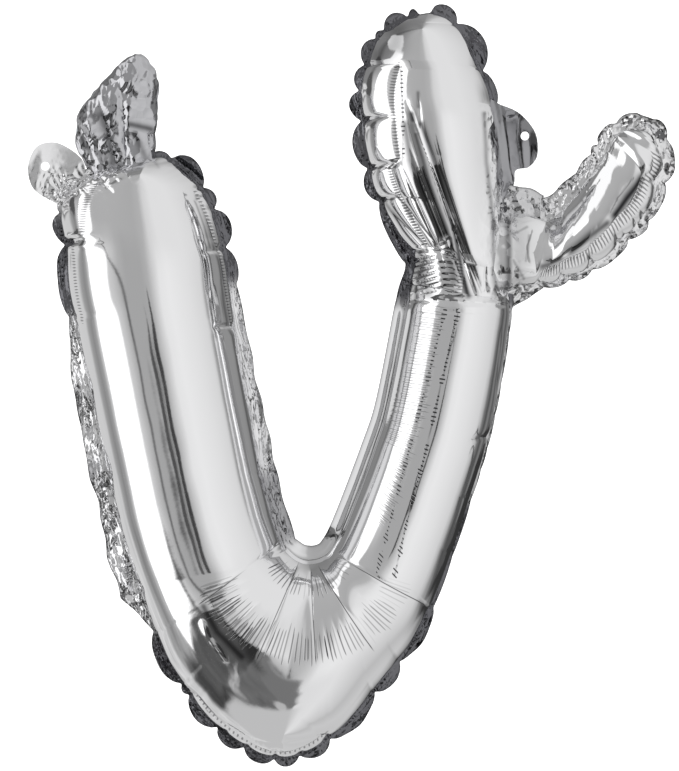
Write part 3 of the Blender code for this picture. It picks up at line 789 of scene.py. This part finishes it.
def tabSheet(name, settings):
    corners = np.linspace(0, len(settings["outline"]), tabFilm["edgePoints"], endpoint=False)
    edge = smoothTable(settings["outline"], corners, closed=True)
    edge = np.concatenate([edge, edge[:1]])
    centre = np.array(settings["centre"], float)
    flat = centre + (edge - centre)[None] * np.linspace(0, 1, tabFilm["rings"])[:, None, None]
    x, z = flat[:, :, 0], flat[:, :, 1]
    seed = settings["seed"]
    away = np.hypot(x - centre[0], z - centre[1])
    lift = settings["lift"] * layered(crumple, x, z, tabFilm["layers"], seed)
    rootX, rootZ = settings["gather"]
    gather = np.exp(-((x - rootX) ** 2 + (z - rootZ) ** 2) / settings["gatherSize"] ** 2)
    lift += gather * settings["gatherLift"] * crumple(x, z, tabFilm["gatherFolds"], seed + 4)
    for foldX, width, height, slope in settings["folds"]:   # x where it crosses the middle
        lift -= height * np.exp(-((x - foldX - slope * (z - centre[1])) / width) ** 2)
    curl = softNoise(x, z, tabFilm["curlSize"], seed + 2)
    lift += settings["curl"] * (away / tabFilm["curlReach"]) ** 2 * curl
    lift += settings["tiltX"] * (x - settings["root"]) + settings["tiltZ"] * (z - centre[1])
    sheet = thinSheet(name, x, lift, z, tabFilm["thickness"], rim=0)
    closeSheet(sheet)
    holeX, holeZ = settings["hole"]
    bpy.ops.mesh.primitive_cylinder_add(
        vertices=punch["sides"], radius=punch["radius"] * mm, depth=punch["length"] * mm,
        location=(holeX * mm, 0, holeZ * mm), rotation=(math.pi / 2, 0, 0))
    cutter = bpy.context.object
    cut = sheet.modifiers.new("punched_hole", "BOOLEAN")
    cut.object = cutter
    cut.operation = "DIFFERENCE"
    selectOnly([sheet])
    bpy.ops.object.modifier_apply(modifier=cut.name)
    bpy.data.objects.remove(cutter)
    bpy.ops.object.shade_smooth_by_angle(angle=smoothAngle)
    return sheet


tabLeft = tabSheet("hang_tab_left_foil", leftTab)
tabRight = tabSheet("hang_tab_right_foil", rightTab)
report("hang tabs", tabLeft, tabRight)


# Materials

def linear(hexColour):   # an sRGB hex value as linear red, green, blue, alpha
    parts = [int(hexColour[k:k + 2], 16) / 255 for k in (1, 3, 5)]
    return [p / 12.92 if p <= 0.04045 else ((p + 0.055) / 1.055) ** 2.4 for p in parts] + [1.0]


def fillInputs(node, inputs):   # a value or the output of another node for each input
    for key, value in inputs.items():
        if isinstance(value, bpy.types.NodeSocket):
            node.id_data.links.new(value, node.inputs[key])
        else:
            node.inputs[key].default_value = value


def addNode(tree, kind, *inputs, out=0, **settings):
    # kind: a node, or in capitals the operation of a Math node. The inputs are given in their order or in a
    # dictionary, and the settings by their names. What comes back is one output of the node.
    node = tree.nodes.new("ShaderNode" + ("Math" if kind.isupper() else kind))
    if kind.isupper():
        node.operation = kind
    for key, value in settings.items():
        setattr(node, key, value)
    named = inputs and isinstance(inputs[0], dict)
    fillInputs(node, inputs[0] if named else dict(enumerate(inputs)))
    return node.outputs[out] if node.outputs else None


edgesOnLine = {"voronoi_dimensions": "1D", "feature": "DISTANCE_TO_EDGE"}   # unevenly spaced lines


def above(node, first, second, soft):   # 1 where the first is over the second, 0 where it is under
    away = node("SUBTRACT", first, second)
    return node("MapRange", away, -soft, soft, interpolation_type="SMOOTHSTEP")


def between(node, value, low, high, soft):
    return node("MULTIPLY", above(node, value, low, soft), above(node, high, value, soft))


def newMaterial(name):   # the material, what adds a node to it, and its shader
    material = bpy.data.materials.new(name)
    material.use_nodes = True
    return material, partial(addNode, material.node_tree), material.node_tree.nodes["Principled BSDF"]


# Fine creases of the front film, drawn in its material as bump and painted shade: spokes round the inside of
# the V
spokes = {
    "centre": (310, 548), "from": 0.05, "to": 0.45, "soft": 0.01, "chance": 1.7, "groups": 0.23,
    "groupGain": 2.6, "groupOffset": -0.95, "turnGain": 1.4, "start": 0.92, "startLoose": 0.9,
    "end": 1.12, "endLoose": -0.22, "thinSoft": 2.5, "lineSoft": 0.12, "endSoft": 0.5, "chanceGain": 1.6,
    "beginSoft": 0.02, "longHalf": 0.6, "longSoft": 0.2, "longEndSoft": 2.0,
}   # pixel of the photograph; from, to and soft are shares of a turn
# Columns: share of a turn to the next spoke, radius mm from, to, line width mm, seed, turn where it starts
spokeRings = (
    (0.0072, 31, 50, 0.30, 3.0, 0.05), (0.017, 9, 21, 0.26, 8.0, 0.05), (0.0058, 41, 52, 0.46, 5.0, 0.335),
)
# Columns: degrees down from the right, bend in degrees times mm, radius mm from, to, line width mm
longSpokes = (
    (143, 665, 14, 55, 0.34), (114, 128, 9, 53, 0.28), (86.5, 0, 10, 50, 0.28), (56, 52, 10, 54, 0.34),
    (29.5, -256, 11, 58, 0.34),
)


def spokeLines(node, place):   # 1 on the fine lines that run to the inside of the V
    centreX, centreZ = onFilm(*spokes["centre"])
    x = node("MULTIPLY_ADD", node("SeparateXYZ", place, out="X"), 1 / mm, -centreX)
    down = node("MULTIPLY_ADD", node("SeparateXYZ", place, out="Z"), -1 / mm, centreZ)
    radius = node("SQRT", node("MULTIPLY_ADD", x, x, node("MULTIPLY", down, down)))
    turn = node("DIVIDE", node("ARCTAN2", down, x), tau)
    total = 0.0
    for spacing, near, far, width, seed, begin in spokeRings:
        share = node("ADD", node("DIVIDE", turn, spacing), seed)
        edge = node("TexVoronoi", {"W": share, "Scale": 1.0}, **edgesOnLine)
        chance = node("TexNoise", {"W": share, "Scale": spokes["chance"]}, noise_dimensions="1D")
        group = {"W": share, "Scale": spokes["groups"], "Detail": 2.0}
        group = node("TexNoise", group, noise_dimensions="1D")
        off = node("MULTIPLY", edge, node("MULTIPLY", radius, spacing * tau))
        start = node("MULTIPLY_ADD", chance, (far - near) * spokes["startLoose"], near * spokes["start"])
        end = node("MULTIPLY_ADD", chance, far * spokes["endLoose"], far * spokes["end"])
        thin = node("MULTIPLY", between(node, radius, start, end, spokes["thinSoft"]), width)
        line = above(node, thin, off, spokes["lineSoft"])
        line = node("MULTIPLY", line, between(node, radius, start, end, spokes["endSoft"]))
        line = node("MULTIPLY", line, node("MULTIPLY", chance, spokes["chanceGain"]))
        strength = node("MULTIPLY_ADD", group, spokes["groupGain"], spokes["groupOffset"])
        strength = node("MULTIPLY_ADD", turn, spokes["turnGain"], strength, use_clamp=True)
        begun = above(node, turn, begin, spokes["beginSoft"])
        line = node("MULTIPLY", line, node("MULTIPLY", strength, begun))
        total = node("MAXIMUM", line, total)
    for degrees, bend, near, far, width in longSpokes:
        curved = node("SUBTRACT", turn, node("DIVIDE", bend / 360, radius))
        off = node("ABSOLUTE", node("SUBTRACT", curved, degrees / 360))
        off = node("MULTIPLY", off, node("MULTIPLY", radius, tau))
        line = above(node, width * spokes["longHalf"], off, spokes["longSoft"])
        line = node("MULTIPLY", line, between(node, radius, near, far, spokes["longEndSoft"]))
        total = node("MAXIMUM", line, total)
    return node("MULTIPLY", total, between(node, turn, spokes["from"], spokes["to"], spokes["soft"]))


gathered = {   # small gathers of the film; spacing and height in mm
    "spacing": 1.45, "height": 0.04, "loose": 2.5, "looseScale": 260.0, "comb": 0.7, "combFrom": 0.4,
    "combSoft": 0.25, "ripple": 4.5, "rippleScale": 0.9,
}
# Short lines across the film, where an attribute has them: mm from one to the next, how uneven they are,
# half a line's width and its softness in mm, how they group, and how dark their painted shade is
shortLines = (
    {"where": "tickCreases", "spacing": 2.0, "uneven": 0.35, "half": 0.32, "soft": 0.12, "groups": 0.21,
     "gain": 2.8, "offset": -0.75, "least": 0.15, "ends": 0.08, "dark": 1.0},
    {"where": "ripples", "spacing": 1.15, "uneven": 0.5, "half": 0.15, "soft": 0.1, "groups": 0.9,
     "gain": 2.6, "offset": -0.7, "least": 0.12, "ends": 0.12, "dark": 0.62},
)


def gatherLines(node, place):   # the waves of the gathered film, and the fine lines on it
    run, gathers, ripples = (
        node("Attribute", attribute_name=mark, out="Fac") for mark in ("runLength", "gathers", "ripples"))
    share = node("DIVIDE", run, gathered["spacing"])
    loose = node("TexNoise", {"Vector": place, "Scale": gathered["looseScale"]})
    wave = node("MULTIPLY_ADD", share, tau, node("MULTIPLY", loose, gathered["loose"]))
    wave = node("MULTIPLY", node("SINE", wave), gathers)
    comb = above(node, wave, gathered["combFrom"], gathered["combSoft"])
    comb = node("MULTIPLY", comb, gathered["comb"])
    ripple = {"W": share, "Scale": gathered["rippleScale"], "Detail": 2.0}
    ripple = node("TexNoise", ripple, noise_dimensions="1D")
    ripple = node("MULTIPLY", ripple, gathered["ripple"])
    wave = node("MULTIPLY_ADD", ripple, ripples, wave)
    lines = node("MAXIMUM", spokeLines(node, place), comb)
    for short in shortLines:
        share = node("DIVIDE", run, short["spacing"])
        edge = node("TexVoronoi", {"W": share, "Scale": 1.0, "Randomness": short["uneven"]}, **edgesOnLine)
        chance = {"W": share, "Scale": short["groups"], "Detail": 3.0}
        chance = node("TexNoise", chance, noise_dimensions="1D")
        room = node("MULTIPLY_ADD", chance, short["gain"], short["offset"])
        room = node("MAXIMUM", room, short["least"])
        where = node("Attribute", attribute_name=short["where"], out="Fac")
        line = above(node, short["half"], node("MULTIPLY", edge, short["spacing"]), short["soft"])
        line = node("MULTIPLY", node("MULTIPLY", line, short["dark"]),
                    above(node, where, room, short["ends"]))
        lines = node("MAXIMUM", lines, line)
    return wave, lines


# Finish of the silver film, with the tones of its painted shade. Sizes of its patches and folds are in mm
filmFinishAndShade = {
    "haze": 1000 / 60, "hazeSpan": (0.3, 0.7, 0.045, 0.085), "crinkle": 1000 / 450, "crinkleStrength": 0.02,
    "crinkleDepth": 0.4, "bigFolds": 1000 / 95, "bigHeight": 2.6, "smallFolds": 1000 / 240,
    "smallHeight": 0.9, "plainHeight": 0.7, "creaseShadeTone": "#5A5A5C", "deepShadeTone": "#2E2E30",
}


def silverFilmMaterial(name, tone, fineLines):
    # Nylon film with aluminium vapour on it: a mirror whose only grain is a faint haze and fine crinkle.
    # Inside a tight fold the film sees itself several times over, so fine creases and deep folds get painted
    # shade in the colour.
    material, node, shader = newMaterial(name)
    finishAndShade = filmFinishAndShade
    place = node("TexCoord", out="Object")
    haze = node("TexNoise", {"Vector": place, "Scale": 1 / (finishAndShade["haze"] * mm), "Detail": 3.0})
    crinkle = node("TexNoise", {"Vector": place, "Scale": 1 / (finishAndShade["crinkle"] * mm), "Detail": 2.0})
    fine = node("Bump", {
        "Height": crinkle, "Strength": finishAndShade["crinkleStrength"], "Distance": finishAndShade["crinkleDepth"] * mm})
    big = node("TexVoronoi", {"Vector": place, "Scale": 1 / (finishAndShade["bigFolds"] * mm)})
    small = node("TexVoronoi", {"Vector": place, "Scale": 1 / (finishAndShade["smallFolds"] * mm)})
    folds = node("MULTIPLY", small, finishAndShade["smallHeight"])
    folds = node("MULTIPLY_ADD", big, finishAndShade["bigHeight"], folds)
    creased, deep = (node("Attribute", attribute_name=mark, out="Fac") for mark in ("creased", "foldShade"))
    colour = linear(tone)
    if fineLines:
        wave, lines = gatherLines(node, place)
        height = node("MULTIPLY", node("SUBTRACT", wave, lines), gathered["height"])
        height = node("MULTIPLY_ADD", folds, creased, height)
        # painted shade along the fine crease lines
        colour = node("Mix", {0: lines, 6: colour, 7: linear(finishAndShade["creaseShadeTone"])}, data_type="RGBA", out=2)
    else:
        height = node("MULTIPLY", folds, finishAndShade["plainHeight"])
    # painted shade where the film is folded deep
    colour = node("Mix", {0: deep, 6: colour, 7: linear(finishAndShade["deepShadeTone"])}, data_type="RGBA", out=2)
    fillInputs(shader, {
        "Base Color": colour, "Metallic": 1.0,
        "Roughness": node("MapRange", haze, *finishAndShade["hazeSpan"]),
        "Normal": node("Bump", {"Height": height, "Normal": fine, "Strength": 1.0, "Distance": mm}),
    })
    return material


marginFinishAndShade = {   # folds of about 4 mm, crinkle of about 2 mm
    "folds": 230.0, "crinkle": 420.0, "foldsFrom": 0.585, "foldsSoft": 0.02, "rimStrength": 0.8,
    "roughness": 0.08, "bump": 0.5, "height": 0.8, "shadedTone": "#727276", "brightTone": "#F0F0F1",
    "deepShadeTone": "#333335", "rimTone": "#1E1E20",
}


def marginMaterial():
    # Two films hot-pressed together: the same metal, finely crinkled by the heat. Tight scallops get painted
    # shade, a darker colour, and so do the pockets of the crumpled branch margin.
    material, node, shader = newMaterial("heat_welded_film")
    finishAndShade = marginFinishAndShade
    place = node("TexCoord", out="Object")
    pockets = node("TexNoise", {"Vector": place, "Scale": finishAndShade["folds"], "Detail": 3.0})
    crinkle = {"Vector": place, "Scale": finishAndShade["crinkle"]}
    crinkle = node("TexVoronoi", crinkle, feature="DISTANCE_TO_EDGE")
    marks = ("brightness", "deep", "rim", "crinkled")
    bright, deep, rim, crinkled = (node("Attribute", attribute_name=mark, out="Fac") for mark in marks)
    pockets = node("MULTIPLY", above(node, pockets, finishAndShade["foldsFrom"], finishAndShade["foldsSoft"]), deep)
    rim = node("MULTIPLY", rim, finishAndShade["rimStrength"])
    colour = linear(finishAndShade["shadedTone"])
    # painted shade on the scallops and in the pockets; the free rim is darker
    for share, tone in ((bright, "brightTone"), (pockets, "deepShadeTone"), (rim, "rimTone")):
        colour = node("Mix", {0: share, 6: colour, 7: linear(finishAndShade[tone])}, data_type="RGBA", out=2)
    height = node("MULTIPLY", crinkle, crinkled)
    fillInputs(shader, {
        "Base Color": colour, "Metallic": 1.0, "Roughness": finishAndShade["roughness"],
        "Normal": node("Bump", {
            "Height": height, "Strength": finishAndShade["bump"], "Distance": finishAndShade["height"] * mm}),
    })
    return material


def tabMaterial(name, tone, roughness):
    # Offcut of the same welded film, handled more, so it is hazier than the inflated panels
    material, node, shader = newMaterial(name)
    place = node("TexCoord", out="Object")
    crinkle = node("TexNoise", {"Vector": place, "Scale": 300.0, "Detail": 3.0})   # about 3 mm
    bump = node("Bump", {"Height": crinkle, "Strength": 0.15, "Distance": 0.5 * mm})
    fillInputs(shader, {"Base Color": linear(tone), "Metallic": 1.0, "Roughness": roughness, "Normal": bump})
    return material


def valveMaterial():
    # Blown polyethylene film: milky clear, soft and slightly grained
    material, node, shader = newMaterial("blown_polyethylene_valve")
    place = node("TexCoord", out="Object")
    grain = node("TexNoise", {"Vector": place, "Scale": 700.0})   # about 1.5 mm
    fillInputs(shader, {
        "Base Color": linear("#DDE2E4"), "Metallic": 0.0, "Roughness": 0.35, "IOR": 1.51,
        "Transmission Weight": 0.5,
        "Normal": node("Bump", {"Height": grain, "Strength": 0.1, "Distance": 0.3 * mm}),
    })
    return material


silver = silverFilmMaterial("metallised_nylon_film", "#F6F6F7", True)
# The neck's darker tone is painted shade: it is the same film as the panels.
shadedNeckSilver = silverFilmMaterial("metallised_nylon_neck_shaded", "#C8C8CB", False)
handledLeft = tabMaterial("handled_film_tab_hazy", "#F0F0F1", 0.16)
# The right tab's darker tone is painted shade; both tabs are the same film.
handledRightShaded = tabMaterial("handled_film_tab_clear_shaded", "#A4A4A7", 0.10)
print("materials made")

for pieces, node, material, slotName in (
        ((frontStroke, frontLobe, frontBranch), "front_film", silver, "silver_film"),
        ((backFilm,), "back_film", silver, "silver_film"),
        ((seamMargin,), "seam_margin", marginMaterial(), "welded_margin"),
        ((neckFront,), "neck_front_film", shadedNeckSilver, "silver_film"),
        ((neckBack,), "neck_back_film", shadedNeckSilver, "silver_film"),
        ((valve,), "valve_sleeve", valveMaterial(), "valve_film"),
        ((tabLeft,), "hang_tab_left", handledLeft, "hang_tab"),
        ((tabRight,), "hang_tab_right", handledRightShaded, "hang_tab")):
    for piece in pieces:
        piece.data.materials.clear()
        piece.data.materials.append(material)
        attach(piece, "root")
        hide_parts(node)


# Studio: a pale floor that curves up into a backdrop, and a soft painted surround

studio = {   # metres
    "floorZ": -0.45, "floorHalf": 3.0, "back": 2.2, "height": 3.0, "curve": 0.6, "curveSteps": 12,
    "grey": "#F2F2F2", "glow": 0.75,
}


def buildStage():
    foot = studio["back"] - studio["curve"]
    profile = [(-studio["floorHalf"], studio["floorZ"]), (foot, studio["floorZ"])]
    for part in range(1, studio["curveSteps"]):
        angle = part / studio["curveSteps"] * math.pi / 2
        profile.append((foot + studio["curve"] * math.sin(angle),
                        studio["floorZ"] + studio["curve"] * (1 - math.cos(angle))))
    profile.append((studio["back"], studio["height"]))
    bpy.ops.object.select_all(action="DESELECT")
    bpy.ops.mesh.primitive_grid_add(x_subdivisions=len(profile) - 1, y_subdivisions=1, size=1)
    floor = bpy.context.object
    floor.name = "studio_floor"
    for vertex in floor.data.vertices:
        k = round((vertex.co.x + 0.5) * (len(profile) - 1))
        wide = studio["floorHalf"] * (1 if vertex.co.y > 0 else -1)
        vertex.co = (wide, *profile[k])
    bpy.ops.object.shade_smooth()
    material, _, shader = newMaterial("painted_studio_floor")
    grey = linear(studio["grey"])
    fillInputs(shader, {
        "Base Color": grey, "Roughness": 0.9, "Emission Color": grey, "Emission Strength": studio["glow"]})
    floor.data.materials.append(material)
    floor.visible_glossy = False


# Grey of the surround by direction. Columns: degrees round from the camera's side, to the right;
# grey as the eye sees it. One list at the height of the camera, one high up and one low down.
levelGreys = (
    (-180, 0.60), (-166, 0.66), (-150, 0.82), (-120, 0.81), (-113, 0.62), (-104, 0.55), (-97, 0.62),
    (-92, 0.80), (-50, 0.84), (-42, 0.78), (-36, 0.70), (-28, 0.66), (-6, 0.66), (2, 0.70), (8, 0.80),
    (17, 0.92), (30, 0.94), (60, 0.90), (90, 0.84), (100, 0.72), (107, 0.48), (117, 0.32), (127, 0.50),
    (137, 0.34), (150, 0.50), (165, 0.36), (175, 0.55),
)
upperGreys = (
    (-180, 0.55), (-160, 0.50), (-125, 0.55), (-108, 0.46), (-96, 0.64), (-50, 0.70), (-10, 0.68),
    (2, 0.71), (10, 0.84), (25, 0.90), (60, 0.90), (100, 0.86), (150, 0.80), (180, 0.60),
)
lowerGreys = (
    (-180, 0.80), (-125, 0.81), (-114, 0.66), (-98, 0.60), (-60, 0.60), (-10, 0.55), (3, 0.80), (10, 0.88),
    (45, 0.90), (90, 0.80), (102, 0.75), (130, 0.80), (160, 0.78), (180, 0.80),
)
# Places and sizes in the surround are in degrees, round from the camera's side to the right, or up
surround = {"below": -26, "above": 19, "blend": 9}
softbox = {
    "bottom": -31, "top": 45, "left": -90, "right": -49, "slant": 0.45, "footAt": -78, "footSlope": 0.55,
    "light": 1.35, "soft": 1.5, "rightSoft": 2.5, "topSoft": 3,
}
rail = {
    "round": -32.5, "bend": 0.25, "half": 1.6, "soft": 1.8, "from": -13, "fromSoft": 3, "to": 13,
    "toSoft": 2, "grey": 0.40,
}
floorPatch = {"top": -51.5, "topSoft": 2.5, "right": 14.0, "rightSoft": 16, "grey": 0.76}
mottle = {"scale": 7.0, "top": -14.0, "topSoft": 8.0, "right": -22.0, "rightSoft": 12, "strength": 1.1}
wander = {"scale": 3.2, "round": 26.0, "up": 14.0}   # how far the furniture's edges stray
# Furniture in the room. Columns: degrees round, degrees up, half width, half height, tilt, softness, grey
furniture = (
    (-32, -38, 44, 14.5, 0, 0.30, 0.42), (-3, -35, 12, 17, 12, 0.35, 0.46),
    (-92, -43, 33, 8.5, 0, 0.70, 0.28), (-68, -34, 26, 7, 20, 0.6, 0.36),
    (-40, -22, 26, 7.5, 10, 0.50, 0.34), (-14, -16, 13, 9, 6, 0.50, 0.20),
    (-47, -39, 13, 7, 38, 0.65, 0.62), (-43, -34, 12, 1.7, 45, 0.7, 0.68), (-13, -47, 9, 5, 0, 0.4, 0.72),
    (152, -12, 38, 6, 14, 0.5, 0.22), (116, -17, 22, 1.6, 0, 0.6, 0.34), (112, 11, 22, 8, 0, 0.6, 0.57),
    (-86, 51, 34, 10, 0, 0.25, 1.03), (-140, 15, 36, 11, 0, 0.4, 0.52), (-140, 9, 34, 1.6, 0, 0.8, 0.86),
    (-107, 16, 11, 8, 0, 0.6, 0.34),
)
# Dark stands in the room. Columns: degrees round, half width, height of the top in degrees, grey
darkStands = ((-1.5, 2.6, 6.0, 0.26), (-9.5, 2.6, 2.0, 0.32), (-6.0, 0.9, 0.0, 0.50))
stands = {"foot": -16.0, "footSoft": 5, "topSoft": 0.5, "soft": 0.9}


def seenGrey(grey):   # a grey as the eye sees it, as linear red, green, blue, alpha
    return [grey ** 2.2] * 3 + [1.0]


def softPatch(node, azimuth, elevation, patch):   # 1 inside a tilted ellipse of the surround
    middle, height, halfWidth, halfHeight, tilt, soft, _ = patch
    cosine, sine = math.cos(math.radians(tilt)), math.sin(math.radians(tilt))
    across = node("SUBTRACT", azimuth, middle)
    up = node("SUBTRACT", elevation, height)
    u = node("MULTIPLY_ADD", across, cosine / halfWidth, node("MULTIPLY", up, sine / halfWidth))
    v = node("MULTIPLY_ADD", across, -sine / halfHeight, node("MULTIPLY", up, cosine / halfHeight))
    return above(node, 1.0, node("MULTIPLY_ADD", u, u, node("MULTIPLY", v, v)), soft)


def softboxMask(node, azimuth, elevation, high):
    slanted = node("MULTIPLY_ADD", high, -softbox["slant"], azimuth)
    left = above(node, slanted, softbox["left"], softbox["soft"])
    right = above(node, azimuth, softbox["right"], softbox["rightSoft"])
    rise = node("ABSOLUTE", node("SUBTRACT", azimuth, softbox["footAt"]))
    foot = node("MULTIPLY_ADD", rise, -softbox["footSlope"], elevation)
    foot = above(node, foot, softbox["bottom"], softbox["soft"])
    head = above(node, elevation, softbox["top"], softbox["topSoft"])
    mask = node("MULTIPLY", node("SUBTRACT", left, right), node("SUBTRACT", foot, head))
    return node("MAXIMUM", mask, 0.0)


def buildWorld():
    world = bpy.data.worlds.new("soft_studio")
    bpy.context.scene.world = world
    world.use_nodes = True
    world.cycles.sampling_method = "NONE"   # the floor glows and the film mirrors, so nothing samples it
    world.node_tree.nodes.clear()
    node = partial(addNode, world.node_tree)
    place = node("TexCoord", out="Generated")
    toX, toY, toZ = (node("SeparateXYZ", place, out=axis) for axis in "XYZ")
    azimuth = node("ARCTAN2", toX, node("MULTIPLY", toY, -1.0))
    azimuth, elevation = (node("MULTIPLY", turn, 360 / tau) for turn in (azimuth, node("ARCSINE", toZ)))
    high = node("MAXIMUM", elevation, 0.0)
    share = node("DIVIDE", node("ADD", azimuth, 180.0), 360.0)
    greys = []
    for levels in (levelGreys, upperGreys, lowerGreys):
        greys.append(node("ValToRGB", share))
        stops = greys[-1].node.color_ramp.elements
        while len(stops) > 1:
            stops.remove(stops[-1])
        for number, (degrees, grey) in enumerate(levels):
            stop = stops.new((degrees + 180) / 360) if number else stops[0]
            stop.position = (degrees + 180) / 360
            stop.color = seenGrey(grey)
    shade, upper, lower = greys
    layers = [   # where each lies, and its colour; a later one covers those before it
        (above(node, elevation, surround["above"], surround["blend"]), upper),
        (above(node, surround["below"], elevation, surround["blend"]), lower),
    ]
    stray = node("TexNoise", {"Vector": place, "Scale": wander["scale"], "Detail": 2.0}, out="Color")
    bentAzimuth = node("MULTIPLY_ADD", node("SeparateXYZ", stray, out="X"), wander["round"], azimuth)
    bentAzimuth = node("SUBTRACT", bentAzimuth, wander["round"] / 2)
    bentElevation = node("MULTIPLY_ADD", node("SeparateXYZ", stray, out="Y"), wander["up"], elevation)
    bentElevation = node("SUBTRACT", bentElevation, wander["up"] / 2)
    for patch in furniture:
        layers.append((softPatch(node, bentAzimuth, bentElevation, patch), seenGrey(patch[6])))
    speckle = node("TexNoise", {"Vector": place, "Scale": mottle["scale"], "Detail": 3.0})
    speckle = node("MULTIPLY", node("SUBTRACT", speckle, 0.5), mottle["strength"])
    low = above(node, mottle["top"], elevation, mottle["topSoft"])
    low = node("MULTIPLY", low, above(node, mottle["right"], azimuth, mottle["rightSoft"]))
    layers.append((None, node("MULTIPLY_ADD", low, speckle, 1.0)))   # this one shades those before it
    railLine = node("MULTIPLY_ADD", node("MULTIPLY", high, high), -rail["bend"], rail["round"])
    away = node("ABSOLUTE", node("SUBTRACT", azimuth, railLine))
    onRail = above(node, rail["half"], away, rail["soft"])
    onRail = node("MULTIPLY", onRail, above(node, elevation, rail["from"], rail["fromSoft"]))
    onRail = node("MULTIPLY", onRail, above(node, rail["to"], elevation, rail["toSoft"]))
    layers.append((onRail, seenGrey(rail["grey"])))
    for middle, half, top, grey in darkStands:
        away = node("ABSOLUTE", node("SUBTRACT", azimuth, middle))
        room = node("MAXIMUM", node("MULTIPLY", node("SUBTRACT", top, elevation), 0.5), 0.0)
        within = above(node, node("MINIMUM", room, half), away, stands["soft"])
        upright = node("SUBTRACT", above(node, elevation, stands["foot"], stands["footSoft"]),
                       above(node, elevation, top, stands["topSoft"]))
        layers.append((node("MULTIPLY", within, upright), seenGrey(grey)))
    below = above(node, floorPatch["top"], elevation, floorPatch["topSoft"])
    below = node("MULTIPLY", below, above(node, floorPatch["right"], azimuth, floorPatch["rightSoft"]))
    layers.append((below, seenGrey(floorPatch["grey"])))
    layers.append((softboxMask(node, azimuth, elevation, high), [softbox["light"]] * 3 + [1.0]))
    for where, colour in layers:
        blend = "MULTIPLY" if where is None else "MIX"
        share = 1.0 if where is None else where
        shade = node("Mix", {0: share, 6: shade, 7: colour}, data_type="RGBA", blend_type=blend, out=2)
    seen = node("LightPath", out="Is Camera Ray")   # the camera sees plain white behind the balloon
    around, plain = (node("Background", colour, 1.0) for colour in (shade, linear("#FFFFFF")))
    node("OutputWorld", node("MixShader", seen, around, plain))


buildStage()
buildWorld()
print("studio built")

view = {"lens": 135.0, "sensor": 36.0, "centreX": 0.0254, "centreZ": -0.1119, "widthAtSeam": 0.3225}


def buildCamera():
    lens = bpy.data.cameras.new("camera")
    lens.lens = view["lens"]
    lens.sensor_width = view["sensor"]
    lens.sensor_fit = "HORIZONTAL"
    camera = bpy.data.objects.new("camera", lens)
    bpy.context.scene.collection.objects.link(camera)
    distance = view["widthAtSeam"] * view["lens"] / view["sensor"]
    camera.location = (view["centreX"], -distance, view["centreZ"])
    camera.rotation_euler = (math.pi / 2, 0, 0)
    bpy.context.scene.camera = camera
    bpy.context.scene.view_settings.view_transform = "Standard"


buildCamera()
